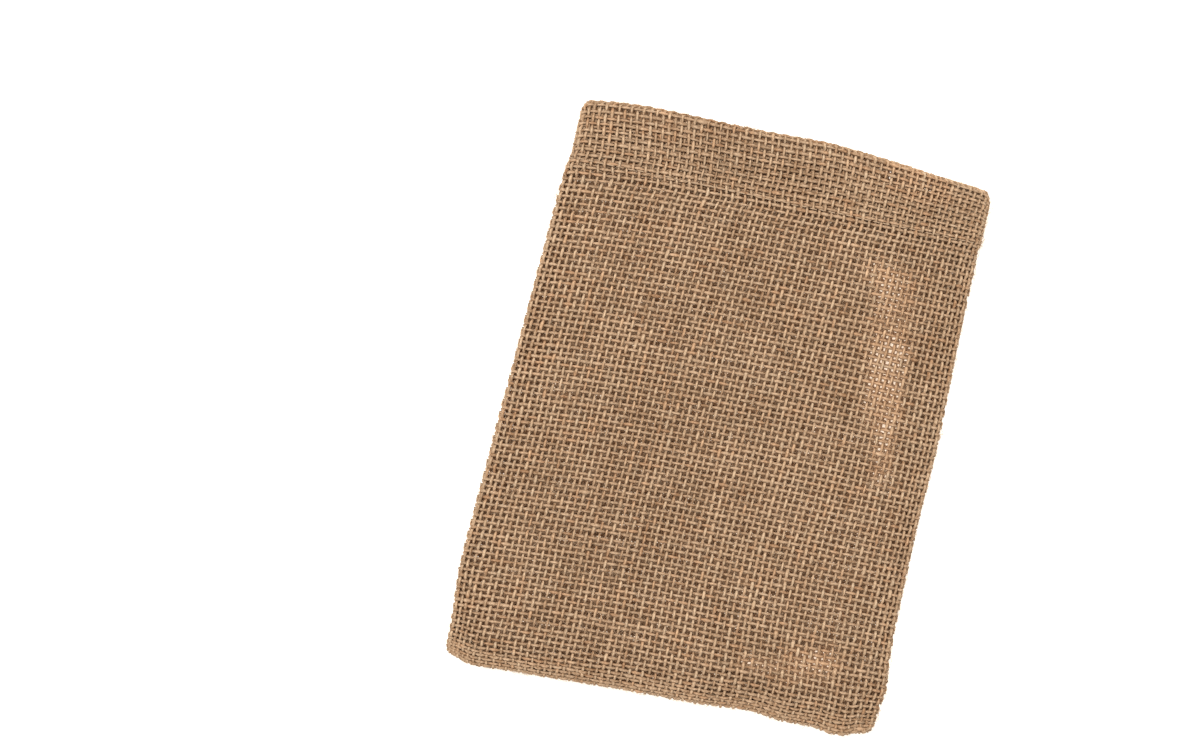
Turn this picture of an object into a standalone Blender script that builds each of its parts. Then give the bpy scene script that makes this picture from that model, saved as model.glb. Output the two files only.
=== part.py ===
"""A jute pouch lying flat on its back, with its mouth a little open.

Two panels of coarse cloth are sewn together at both sides and the bottom, the allowance inside. Each panel
ends at the mouth in a hem, turned in and laid back against it, so a panel is one sheet that folds once.

+Y points to the mouth, X runs across the pouch, +Z is up, and the back panel lies on Z = 0. Tables and sizes
are in millimetres, and the meshes are made in metres.
"""

import math
from typing import NamedTuple

import bmesh
import bpy
import numpy as np

MM = 0.001

# Cloth and sewing: its thickness, the air between layers, and where along the hem's cut edge lies inside
CLOTH = 1.1
LAYER_GAP = 0.3
PANEL_GAP = 0.3
HEM_EDGE = 80.4

# Half of the pouch's length, as its outline measures
HALF_LENGTH = 103.4

# Rolled edges: the radius of the cloth's middle where it turns over the seam, and the upright lip under it
EDGE_ROLL = 0.7
EDGE_LIP = 0.15
ROLL_ANGLES = (0.0, 35.0, 65.0, 90.0)

# The hem: how far its inner layer lies from the outer one, and the flat faces in the fold between them
HEM_STEP = CLOTH + LAYER_GAP
FOLD_STEPS = 6

# Radii of the bottom corners
LEFT_CORNER = 7.0
RIGHT_CORNER = 9.0

# How far in from the edges the front panel reaches its full height, and its reliefs their full rise
BOTTOM_SHOULDER = 27.0
RELIEF_SHOULDER = 5.0

# Points of a corner nearer than this, in metres, are one
WELD = 1e-7


class Side(NamedTuple):
    """Where the cloth ends at the left and the right, at one place along the pouch."""

    along: float
    left: float
    right: float


SIDES = (
    Side(-103.4, -76.8, 76.8),
    Side(-93.0, -76.9, 77.0),
    Side(-87.0, -77.2, 77.4),
    Side(-81.0, -77.7, 78.4),
    Side(-69.0, -78.4, 77.3),
    Side(-56.0, -77.9, 76.8),
    Side(-24.0, -76.6, 76.7),
    Side(8.0, -75.3, 77.5),
    Side(48.0, -73.6, 76.8),
    Side(64.0, -72.9, 76.7),
    Side(74.0, -72.3, 76.6),
    Side(78.0, -71.6, 76.2),
    Side(79.6, -71.2, 76.8),
    Side(90.0, -71.2, 76.8),
    Side(103.4, -70.9, 76.3),
)


class End(NamedTuple):
    """Where the cloth ends at the bottom and at the mouth, at one place across the pouch."""

    across: float
    bottom: float
    mouth: float


ENDS = (
    End(-78.4, -103.1, 98.8),
    End(-67.0, -103.4, 100.2),
    End(-54.0, -102.7, 101.7),
    End(-41.0, -102.1, 102.3),
    End(-30.0, -101.4, 102.3),
    End(-8.0, -100.3, 102.5),
    End(15.0, -99.5, 103.4),
    End(33.0, -98.1, 102.5),
    End(45.0, -99.4, 101.5),
    End(60.0, -99.6, 100.1),
    End(72.0, -99.8, 99.2),
    End(78.4, -99.7, 97.8),
)


class Section(NamedTuple):
    """The front panel's form at one place along the pouch.

    hem is 0 on the single cloth and 1 where the hem lies under it, height is the middle of the outer layer
    above the surface, and shoulder is how far in from each side it reaches that height.
    """

    along: float
    hem: float
    height: float
    shoulder: float


SECTIONS = (
    Section(-103.4, 0.0, 6.5, 24.0),
    Section(-40.0, 0.0, 6.6, 24.0),
    Section(20.0, 0.0, 6.8, 25.0),
    Section(60.0, 0.0, 7.6, 27.0),
    Section(72.0, 0.1, 8.3, 29.0),
    Section(79.0, 1.0, 9.1, 31.0),
    Section(90.0, 1.0, 9.2, 33.0),
    Section(103.4, 1.0, 9.3, 35.0),
)


class Relief(NamedTuple):
    """A soft hollow or swelling of the front panel: its centre, its reach each way and its rise."""

    across: float
    along: float
    reach_across: float
    reach_along: float
    rise: float


RELIEFS = (
    Relief(-52.0, 73.5, 34.0, 3.2, 0.45),
    Relief(35.0, 74.0, 40.0, 2.8, 0.20),
    Relief(0.0, 81.0, 90.0, 1.6, -0.30),
    Relief(-72.0, 0.0, 2.6, 75.0, 0.35),
    Relief(54.0, 30.0, 9.0, 42.0, -0.25),
    Relief(20.0, -84.0, 30.0, 9.0, 0.35),
    Relief(-30.0, -30.0, 26.0, 40.0, 0.25),
)

# Where the meshes are cut: distances from the bottom edge, places along, and shares of the clear width
NEAR_BOTTOM = (2.5, 5.5, 10.0, 16.0, 23.0)
ALONG = (-69.0, -57.0, -44.0, -30.0, -14.0, 2.0, 18.0, 34.0, 48.0, 58.0, 65.0, 70.0, 73.5, 77.0)
HEM_ALONG = (79.2, 81.0, 83.0, 87.0, 92.0, 97.0)
ACROSS_SHARES = (0.0, 0.014, 0.035, 0.07, 0.12, 0.19, 0.28, 0.39, 0.5)


class Station(NamedTuple):
    """One row of a panel's sheet.

    depth is how far it lies inside the outer layer, forward is how far it stands past its place along, turn
    is its share of the bottom roll, and lip is 0 on the row that meets the other panel.
    """

    along: float
    depth: float
    forward: float
    turn: float
    lip: float


class Cloth(NamedTuple):
    """The finish of a panel: linear colour and roughness."""

    colour: tuple
    roughness: float


FRONT_CLOTH = Cloth((0.36, 0.22, 0.13, 1.0), 0.92)
BACK_CLOTH = Cloth((0.33, 0.20, 0.12, 1.0), 0.92)


def column(table, name):
    """One named column of a table, as an array."""
    return np.array([getattr(row, name) for row in table], float)


def smooth(knots, values, at):
    """Reads a table at some places: a cubic through its rows that never swings past them."""
    steps = np.diff(knots)
    rises = np.diff(values) / steps
    before, after = rises[:-1], rises[1:]
    both = before * after
    shared = np.where(both > 0, 2 * both / np.where(both > 0, before + after, 1.0), 0.0)
    slopes = np.concatenate([rises[:1], shared, rises[-1:]])
    place = np.clip(np.searchsorted(knots, at) - 1, 0, len(knots) - 2)
    share = np.clip((at - knots[place]) / steps[place], 0.0, 1.0)
    rest = 1 - share
    return (
        values[place] * (1 + 2 * share) * rest**2
        + values[place + 1] * (3 - 2 * share) * share**2
        + (slopes[place] * rest - slopes[place + 1] * share) * steps[place] * share * rest
    )


def read(table, place, name, at):
    """Reads a named column of a table at some places of its first column."""
    return smooth(column(table, place), column(table, name), np.asarray(at, float))


def roll_radius(along):
    """The radius of the rolled side edge, which is wider where the hem lies inside it."""
    return EDGE_ROLL + HEM_STEP * read(SECTIONS, "along", "hem", along)


def round_corner(from_side, from_bottom, radius):
    """Moves points near a bottom corner so that the two edges meet in an arc."""
    p = np.clip(1 - from_side / radius, 0.0, 1.0)
    q = np.clip(1 - from_bottom / radius, 0.0, 1.0)
    side = np.where(p * q > 0, radius * (1 - p * np.sqrt(1 - q * q / 2)), from_side)
    bottom = np.where(p * q > 0, radius * (1 - q * np.sqrt(1 - p * p / 2)), from_bottom)
    return side, bottom


def panel_path():
    """The stations of a panel's sheet: bottom roll, body, hem, fold at the mouth, and the hem laid back."""
    start = -HALF_LENGTH + CLOTH / 2
    fold_radius = HEM_STEP / 2
    mouth = HALF_LENGTH - CLOTH / 2 - fold_radius
    path = [Station(start, 0.0, 0.0, 0.0, 0.0)]
    for degrees in ROLL_ANGLES:
        angle = math.radians(degrees)
        path.append(Station(start + EDGE_ROLL * (1 - math.cos(angle)), 0.0, 0.0, math.sin(angle), 1.0))
    for distance in NEAR_BOTTOM:
        path.append(Station(start + distance, 0.0, 0.0, 1.0, 1.0))
    for along in (*ALONG, *HEM_ALONG, mouth):
        path.append(Station(along, 0.0, 0.0, 1.0, 1.0))
    for step in range(1, FOLD_STEPS):
        angle = math.pi * step / FOLD_STEPS
        depth = fold_radius * (1 - math.cos(angle))
        path.append(Station(mouth, depth, fold_radius * math.sin(angle), 1.0, 1.0))
    for along in (mouth, *reversed(HEM_ALONG[1:]), HEM_EDGE):
        path.append(Station(along, HEM_STEP, 0.0, 1.0, 1.0))
    return path


def columns_across(clear_left, clear_right, radius):
    """The places across of each column at one row, with its share of the side roll and of the lip."""
    angles = [math.radians(a) for a in ROLL_ANGLES[:-1]]
    rolled = [radius * (1 - math.cos(a)) for a in angles]
    inner = clear_right - clear_left - 2 * radius
    left = [clear_left, *(clear_left + r for r in rolled)]
    left += [clear_left + radius + inner * share for share in ACROSS_SHARES]
    right = [clear_right - radius - inner * share for share in ACROSS_SHARES[-2::-1]]
    right += [*(clear_right - r for r in reversed(rolled)), clear_right]
    turn = [0.0, *(math.sin(a) for a in angles)]
    flat = [1.0] * (2 * len(ACROSS_SHARES) - 1)
    share = [*turn, *flat, *reversed(turn)]
    lip = [0.0] + [1.0] * (len(share) - 2) + [0.0]
    return np.array(left + right), np.array(share), np.array(lip)


def climb(distance, shoulder):
    """How much of its full height a panel has reached at a distance from an edge."""
    share = np.clip(distance / shoulder, 0.0, 1.0)
    return 1 - (1 - share) ** 2


def swell(x, y, from_side, from_bottom, along, edge_height):
    """How far the front panel stands above its rolled edge."""
    height = read(SECTIONS, "along", "height", along)
    shoulder = read(SECTIONS, "along", "shoulder", along)
    reach = climb(from_side, shoulder) * climb(from_bottom, BOTTOM_SHOULDER)
    relief = np.zeros_like(x)
    for r in RELIEFS:
        distance = ((x - r.across) / r.reach_across) ** 2 + ((y - r.along) / r.reach_along) ** 2
        relief += r.rise * np.exp(-distance)
    near_edge = climb(np.minimum(from_side, from_bottom), RELIEF_SHOULDER)
    return (height - edge_height) * reach + relief * near_edge


def panel_row(front, station):
    """The middle of the cloth across one station, as an array of columns by X, Y, Z."""
    radius = roll_radius(station.along)
    left = read(SIDES, "along", "left", station.along) + CLOTH / 2
    right = read(SIDES, "along", "right", station.along) - CLOTH / 2
    depth = station.depth
    x, turn, lip = columns_across(left + depth, right - depth, radius - depth)
    from_bottom = np.full_like(x, station.along + HALF_LENGTH - CLOTH / 2)
    side, from_bottom = round_corner(x - left, from_bottom, LEFT_CORNER)
    x = left + side
    side, from_bottom = round_corner(right - x, from_bottom, RIGHT_CORNER)
    x = right - side
    low = read(ENDS, "across", "bottom", x) + CLOTH / 2
    high = read(ENDS, "across", "mouth", x) - CLOTH / 2
    y = low + (high - low) * from_bottom / (2 * HALF_LENGTH - CLOTH) + station.forward
    seam = CLOTH / 2 + radius + EDGE_LIP + PANEL_GAP / 2
    step = PANEL_GAP / 2 + EDGE_LIP * lip * station.lip + (radius - depth) * turn * station.turn
    if not front:
        return np.stack([x, y, seam - step], axis=1)
    edge_height = seam + PANEL_GAP / 2 + EDGE_LIP + radius
    from_side = np.minimum(x - left, right - x)
    z = seam + step + swell(x, y, from_side, from_bottom, station.along, edge_height)
    return np.stack([x, y, z], axis=1)


def panel_sheet(front):
    """The middle of a panel's whole sheet, as an array of stations, columns and X, Y, Z."""
    return np.array([panel_row(front, station) for station in panel_path()])


def cloth_material(name, cloth):
    """A plain rough material in the cloth's colour."""
    material = bpy.data.materials.new(name)
    material.use_nodes = True
    shader = material.node_tree.nodes["Principled BSDF"]
    shader.inputs["Base Color"].default_value = cloth.colour
    shader.inputs["Roughness"].default_value = cloth.roughness
    shader.inputs["Metallic"].default_value = 0.0
    return material


def make_panel(name, front, cloth):
    """One panel: its sheet as a grid of faces, given the cloth's thickness."""
    sheet = panel_sheet(front) * MM
    shape = bmesh.new()
    points = [[shape.verts.new(point) for point in row] for row in sheet]
    for low, high in zip(points, points[1:]):
        for i in range(len(low) - 1):
            corners = (low[i], low[i + 1], high[i + 1], high[i])
            shape.faces.new(corners if front else reversed(corners))
    bmesh.ops.remove_doubles(shape, verts=shape.verts, dist=WELD)
    mesh = bpy.data.meshes.new(name)
    shape.to_mesh(mesh)
    shape.free()
    mesh.shade_smooth()
    mesh.materials.append(cloth_material(name + "_cloth", cloth))
    panel = bpy.data.objects.new(name, mesh)
    bpy.context.scene.collection.objects.link(panel)
    thicken = panel.modifiers.new("cloth", "SOLIDIFY")
    thicken.thickness = CLOTH * MM
    thicken.offset = 0.0
    return panel


def clear_scene():
    """Takes away whatever the scene starts with."""
    for thing in list(bpy.data.objects):
        bpy.data.objects.remove(thing, do_unlink=True)


clear_scene()
make_panel("front_panel", True, FRONT_CLOTH)
make_panel("back_panel", False, BACK_CLOTH)
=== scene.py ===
"""The woven look of a jute pouch that lies flat on its back, its mouth a little open.

Both panels are made of their real yarns: warps along the pouch and wefts across it, over and under each
other, turned in at the seams and folded back at the mouth as the hem. Sewing thread, stray fibres, a pale
floor and soft studio light complete it.

+Y points to the mouth, X runs across the pouch and +Z is up. Tables and sizes are in millimetres, and the
meshes are made in metres.
"""

import logging
import math
from dataclasses import dataclass
from enum import Enum
from typing import NamedTuple

import bpy
import numpy as np
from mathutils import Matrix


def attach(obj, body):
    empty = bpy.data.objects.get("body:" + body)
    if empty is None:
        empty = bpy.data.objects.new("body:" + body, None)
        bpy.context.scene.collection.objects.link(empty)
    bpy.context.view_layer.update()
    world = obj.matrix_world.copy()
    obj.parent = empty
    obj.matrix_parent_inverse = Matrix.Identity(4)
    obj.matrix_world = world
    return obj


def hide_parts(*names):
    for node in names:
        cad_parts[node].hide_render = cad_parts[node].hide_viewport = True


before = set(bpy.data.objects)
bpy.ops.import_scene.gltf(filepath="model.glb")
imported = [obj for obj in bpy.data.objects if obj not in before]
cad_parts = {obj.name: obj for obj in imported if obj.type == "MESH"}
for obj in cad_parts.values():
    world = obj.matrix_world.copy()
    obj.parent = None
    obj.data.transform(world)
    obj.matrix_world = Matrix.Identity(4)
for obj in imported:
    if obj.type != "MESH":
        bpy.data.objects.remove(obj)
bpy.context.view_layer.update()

log = logging.getLogger("jute_pouch")

MM = 0.001
BODY = "root"

# The weave: how many warps and wefts the front panel has
WARPS = 71
WEFTS = 109

# The cloth's middle: how far in from the outline, above the surface, and from layer to layer in the hem
INSET = 0.7
REST_HEIGHT = 0.88
HEM_STEP = 1.5
CLEARANCE = 0.02

# The sewn edges: radius of the soft roll, of the turn inwards under it, and the tuck that follows
EDGE_ROLL = 0.5
EDGE_TURN = 0.3
TUCK_LENGTH = 1.0
TUCK_HEIGHT = 0.42

# Radii of the corners, how far the front rises over its edges, and where the inner hem layer ends
LEFT_CORNER = 2.5
RIGHT_CORNER = 3.2
MOUTH_CORNER = 2.6
BOTTOM_SHOULDER = 27.0
RELIEF_SHOULDER = 5.0
HEM_END = 78.6

# Straightened sides, as lines of a place at the bottom and one at the mouth, and how far in the bumps reach
LEFT_LINE = (-78.2, -70.9)
RIGHT_LINE = (77.7, 76.4)
HALF_LENGTH = 103.4
BUMP_REACH = 0.075

# The hem's stitched line: its height at the middle and its rise to the right
HEM_LINE = 79.35
HEM_LINE_RISE = 0.0087
HEM_SECTION = 79.6

# The camera: its distance, the width that it sees, its foot on the surface, and its turn
CAMERA_DISTANCE = 1300.0
CAMERA_WIDTH = 423.6
CAMERA_FOOT = (-44.1, 5.4)
CAMERA_TURN = math.radians(12.5)
SENSOR = 36.0


class Face(Enum):
    """The two panels of the pouch."""

    FRONT = "front"
    BACK = "back"


class Direction(Enum):
    """The two sets of yarns in a panel."""

    WARP = "warp"
    WEFT = "weft"


class Side(NamedTuple):
    """The outline's left and right at one place along the pouch."""

    along: float
    left: float
    right: float


SIDES = (
    Side(-103.4, -76.8, 76.8),
    Side(-93.0, -76.9, 77.0),
    Side(-87.0, -77.2, 77.4),
    Side(-81.0, -77.7, 78.4),
    Side(-69.0, -78.4, 77.3),
    Side(-56.0, -77.9, 76.8),
    Side(-24.0, -76.6, 76.7),
    Side(8.0, -75.3, 77.5),
    Side(48.0, -73.6, 76.8),
    Side(64.0, -72.9, 76.7),
    Side(74.0, -72.3, 76.6),
    Side(78.0, -71.6, 76.2),
    Side(79.6, -71.2, 76.8),
    Side(90.0, -71.2, 76.8),
    Side(103.4, -70.9, 76.3),
)


class End(NamedTuple):
    """The outline's bottom and mouth at one place across the pouch."""

    across: float
    bottom: float
    mouth: float


ENDS = (
    End(-78.4, -100.2, 98.8),
    End(-75.2, -101.1, 99.1),
    End(-72.0, -101.9, 99.5),
    End(-69.5, -102.8, 99.8),
    End(-66.0, -103.4, 100.4),
    End(-54.0, -102.7, 101.7),
    End(-41.0, -102.1, 102.3),
    End(-30.0, -101.4, 102.3),
    End(-8.0, -100.3, 102.5),
    End(15.0, -99.5, 103.4),
    End(33.0, -98.1, 102.5),
    End(45.0, -99.2, 101.5),
    End(56.0, -98.9, 100.4),
    End(62.0, -99.8, 100.0),
    End(66.0, -99.7, 99.7),
    End(68.0, -99.1, 99.6),
    End(70.0, -97.9, 99.4),
    End(73.0, -97.3, 99.1),
    End(78.4, -95.9, 97.8),
)


class Section(NamedTuple):
    """The front panel's form at one place along the pouch: hem share, height and reach of its shoulders."""

    along: float
    hem: float
    height: float
    shoulder: float


SECTIONS = (
    Section(-103.4, 0.0, 6.5, 24.0),
    Section(-40.0, 0.0, 6.6, 24.0),
    Section(20.0, 0.0, 6.8, 25.0),
    Section(60.0, 0.0, 7.6, 27.0),
    Section(72.0, 0.1, 8.3, 29.0),
    Section(79.0, 1.0, 9.1, 31.0),
    Section(90.0, 1.0, 9.2, 33.0),
    Section(103.4, 1.0, 9.3, 35.0),
)


class Relief(NamedTuple):
    """A soft hollow or swelling of the front panel: its centre, its reach each way and its rise."""

    across: float
    along: float
    reach_across: float
    reach_along: float
    rise: float


RELIEFS = (
    Relief(-52.0, 73.0, 34.0, 3.4, 0.50),
    Relief(35.0, 73.5, 40.0, 2.8, 0.20),
    Relief(-72.0, 0.0, 2.6, 75.0, 0.35),
    Relief(54.0, 30.0, 9.0, 42.0, -0.25),
    Relief(20.0, -84.0, 30.0, 9.0, 0.35),
    Relief(-30.0, -30.0, 26.0, 40.0, 0.25),
)
HEM_VALLEY = -0.12
HEM_VALLEY_REACH = 2.2


class Sway(NamedTuple):
    """How far the warps stray from straight lines at one place along: at the left, middle and right."""

    along: float
    left: float
    middle: float
    right: float


SWAYS = (
    Sway(-103.4, 1.2, 0.0, -2.2),
    Sway(-91.0, -0.3, -0.05, 0.2),
    Sway(-87.0, -0.2, -0.1, 0.3),
    Sway(-78.0, -0.35, -0.4, -0.5),
    Sway(-65.0, -1.0, -1.0, -1.3),
    Sway(-52.0, -1.6, -1.4, -1.4),
    Sway(-40.0, -1.45, -1.75, -1.0),
    Sway(-10.0, -1.0, -1.0, 0.4),
    Sway(20.0, -0.55, -0.2, 1.2),
    Sway(45.0, 0.2, 0.75, 1.9),
    Sway(60.0, 0.75, 1.3, 2.3),
    Sway(70.0, 1.2, 1.5, 2.3),
    Sway(79.0, 2.1, 1.8, 2.2),
    Sway(82.0, 2.0, 1.8, 2.2),
    Sway(86.0, 1.4, 1.8, 2.2),
    Sway(91.0, 0.6, 1.5, 2.1),
    Sway(96.0, -0.2, 1.0, 1.7),
    Sway(103.4, -1.2, 0.0, 0.8),
)
SWAY_SHARES = (0.13, 0.49, 0.81)


class Rise(NamedTuple):
    """How far a weft lies above its own middle at one place across the pouch."""

    across: float
    rise: float


RISES = (
    Rise(-78.4, -5.3),
    Rise(-62.0, -3.59),
    Rise(-48.0, -2.32),
    Rise(-32.0, -1.26),
    Rise(-16.0, -0.5),
    Rise(0.0, 0.0),
    Rise(16.0, 0.39),
    Rise(32.0, 0.68),
    Rise(48.0, 0.88),
    Rise(62.0, 1.06),
    Rise(78.4, 1.3),
)

# How far from the mouth and from the bottom the wefts still bend with those edges, and how fast it fades
MOUTH_BEND = 29.0
BOTTOM_BEND = 25.0
BEND_POWER = 1.5


class Clearing(NamedTuple):
    """A place where light passes through all layers and the floor shows through their holes.

    start and end are its ends, reach is how far it goes beside them, fade over what width it ends, light how
    brightly the passing light is painted into the yarns, and share how nearly the layers' holes line up.
    """

    start: tuple[float, float]
    end: tuple[float, float]
    reach: float
    fade: float
    light: float
    share: float


CLEARINGS = (
    Clearing((42.5, 61.5), (52.0, 61.0), 2.0, 5.0, 1.1, 0.40),
    Clearing((50.5, 56.0), (52.5, 38.0), 5.0, 5.0, 1.0, 0.34),
    Clearing((53.5, 36.0), (55.5, 14.0), 4.5, 4.5, 1.1, 0.60),
    Clearing((57.0, 14.0), (60.0, -7.0), 1.2, 4.5, 1.1, 0.55),
    Clearing((28.0, -80.5), (44.0, -82.0), 1.0, 4.5, 0.9, 0.40),
    Clearing((44.0, -79.0), (55.0, -75.0), 2.5, 5.5, 1.1, 0.42),
    Clearing((40.0, 96.5), (58.0, 94.0), 2.4, 5.0, 1.1, 0.30),
    Clearing((39.5, 97.0), (41.5, 96.0), 1.0, 3.0, 1.1, 0.95),
    Clearing((51.0, 95.5), (57.5, 94.5), 1.0, 3.5, 1.1, 0.95),
)
CLEARING_SPOTS = 0.4


def smooth(knots: np.ndarray, values: np.ndarray, at: np.ndarray) -> np.ndarray:
    """Reads a table at some places, by a cubic through its rows that never swings past them.

    Args:
        knots: the places of the rows, rising.
        values: the value of each row.
        at: the places to read.

    Returns:
        The values at those places.
    """
    steps = np.diff(knots)
    rises = np.diff(values) / steps
    before, after = rises[:-1], rises[1:]
    both = before * after
    shared = np.where(both > 0, 2 * both / np.where(both > 0, before + after, 1.0), 0.0)
    slopes = np.concatenate([rises[:1], shared, rises[-1:]])
    place = np.clip(np.searchsorted(knots, at) - 1, 0, len(knots) - 2)
    share = np.clip((at - knots[place]) / steps[place], 0.0, 1.0)
    rest = 1 - share
    return (
        values[place] * (1 + 2 * share) * rest**2
        + values[place + 1] * (3 - 2 * share) * share**2
        + (slopes[place] * rest - slopes[place + 1] * share) * steps[place] * share * rest
    )


def read(table: tuple, place: str, name: str, at: np.ndarray) -> np.ndarray:
    """Reads a named column of a table at some places of its first column.

    Args:
        table: the rows, each with named values.
        place: the name of the column of places.
        name: the name of the column to read.
        at: the places to read.

    Returns:
        The values at those places.
    """
    knots = np.array([getattr(row, place) for row in table], float)
    values = np.array([getattr(row, name) for row in table], float)
    return smooth(knots, values, np.asarray(at, float))


def climb(distance: np.ndarray, shoulder: np.ndarray) -> np.ndarray:
    """How much of its full height a panel has reached at a distance from an edge."""
    return 1 - (1 - np.clip(distance / shoulder, 0.0, 1.0)) ** 2


def soft_step(share: np.ndarray) -> np.ndarray:
    """Goes softly from 0 to 1 as its input does, and stays there outside."""
    held = np.clip(share, 0.0, 1.0)
    return held * held * (3 - 2 * held)


def round_corner(
    from_side: np.ndarray, from_bottom: np.ndarray, radius: float
) -> tuple[np.ndarray, np.ndarray]:
    """Moves points near a bottom corner so that the two edges meet in an arc.

    Args:
        from_side: distances from the side edge.
        from_bottom: distances from the bottom edge.
        radius: the corner's radius.

    Returns:
        Both distances after the move.
    """
    p = np.clip(1 - from_side / radius, 0.0, 1.0)
    q = np.clip(1 - from_bottom / radius, 0.0, 1.0)
    near = p * q > 0
    side = np.where(near, radius * (1 - p * np.sqrt(1 - q * q / 2)), from_side)
    bottom = np.where(near, radius * (1 - q * np.sqrt(1 - p * p / 2)), from_bottom)
    return side, bottom


def clearings(x: np.ndarray, y: np.ndarray) -> tuple[np.ndarray, np.ndarray]:
    """How clear the cloth is at some places.

    Args:
        x: places across.
        y: places along.

    Returns:
        How much passing light is painted onto the yarns, 0 where none is, and how nearly the holes line up,
        from 0 to 1.
    """
    light = np.zeros_like(x)
    lined_up = np.zeros_like(x)
    for place in CLEARINGS:
        run = np.subtract(place.end, place.start)
        share = ((x - place.start[0]) * run[0] + (y - place.start[1]) * run[1]) / (run @ run)
        share = np.clip(share, 0.0, 1.0)
        away = np.hypot(x - place.start[0] - share * run[0], y - place.start[1] - share * run[1])
        step = soft_step((place.reach + place.fade - away) / place.fade)
        light = np.maximum(light, place.light * step)
        lined_up = np.maximum(lined_up, place.share * step**1.5)
    return light, lined_up


def drift(rng: np.random.Generator, shape: tuple[int, int], reach: tuple[float, float]) -> np.ndarray:
    """Random values that change softly over a grid, with a mean of 0 and a spread of 1.

    Args:
        rng: the source of the random values.
        shape: the grid's rows and columns.
        reach: over how many rows and columns a value holds; 0 leaves that direction rough.

    Returns:
        The values, as an array of that shape.
    """
    wave = np.fft.fft2(rng.standard_normal(shape))
    for axis, length in enumerate(reach):
        turns = np.fft.fftfreq(shape[axis])
        fade = np.exp(-2 * (math.pi * length * turns) ** 2)
        wave = wave * (fade[:, None] if axis == 0 else fade[None, :])
    values = np.fft.ifft2(wave).real
    values -= values.mean()
    return values / values.std()


class Bend(NamedTuple):
    """The turned edge of a panel from its tuck to the flat, as arrays of one value for each point.

    fixed is the inset that never changes, rolled the share of the roll's radius in the inset, lip how far the
    small turn has gone, and turn how far the roll has gone.
    """

    fixed: np.ndarray
    rolled: np.ndarray
    lip: np.ndarray
    turn: np.ndarray


def edge_bend() -> Bend:
    """The points of a turned edge, without the first one of the flat.

    Returns:
        The bend, from the end of the tuck to the top of the roll.
    """
    tucks = [(TUCK_LENGTH * k + EDGE_TURN, 0.0, 0.0, 0.0) for k in (1.0, 0.5)]
    lips = []
    for angle in np.radians((0.0, 30.0, 60.0)):
        lips.append((EDGE_TURN * (1 - math.sin(angle)), 0.0, 1 - math.cos(angle), 0.0))
    rolls = []
    for angle in np.radians((0.0, 18.0, 36.0, 54.0, 72.0)):
        rolls.append((0.0, 1 - math.cos(angle), 1.0, math.sin(angle)))
    return Bend(*np.array(tucks + lips + rolls).T)


class Station(NamedTuple):
    """One row of a panel's cloth.

    at is its place along at the pouch's middle, depth how far it lies inside the outer layer, forward how far
    it stands past its place, and lip and turn are those of the bottom edge.
    """

    at: float
    depth: float
    forward: float
    lip: float
    turn: float


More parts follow.
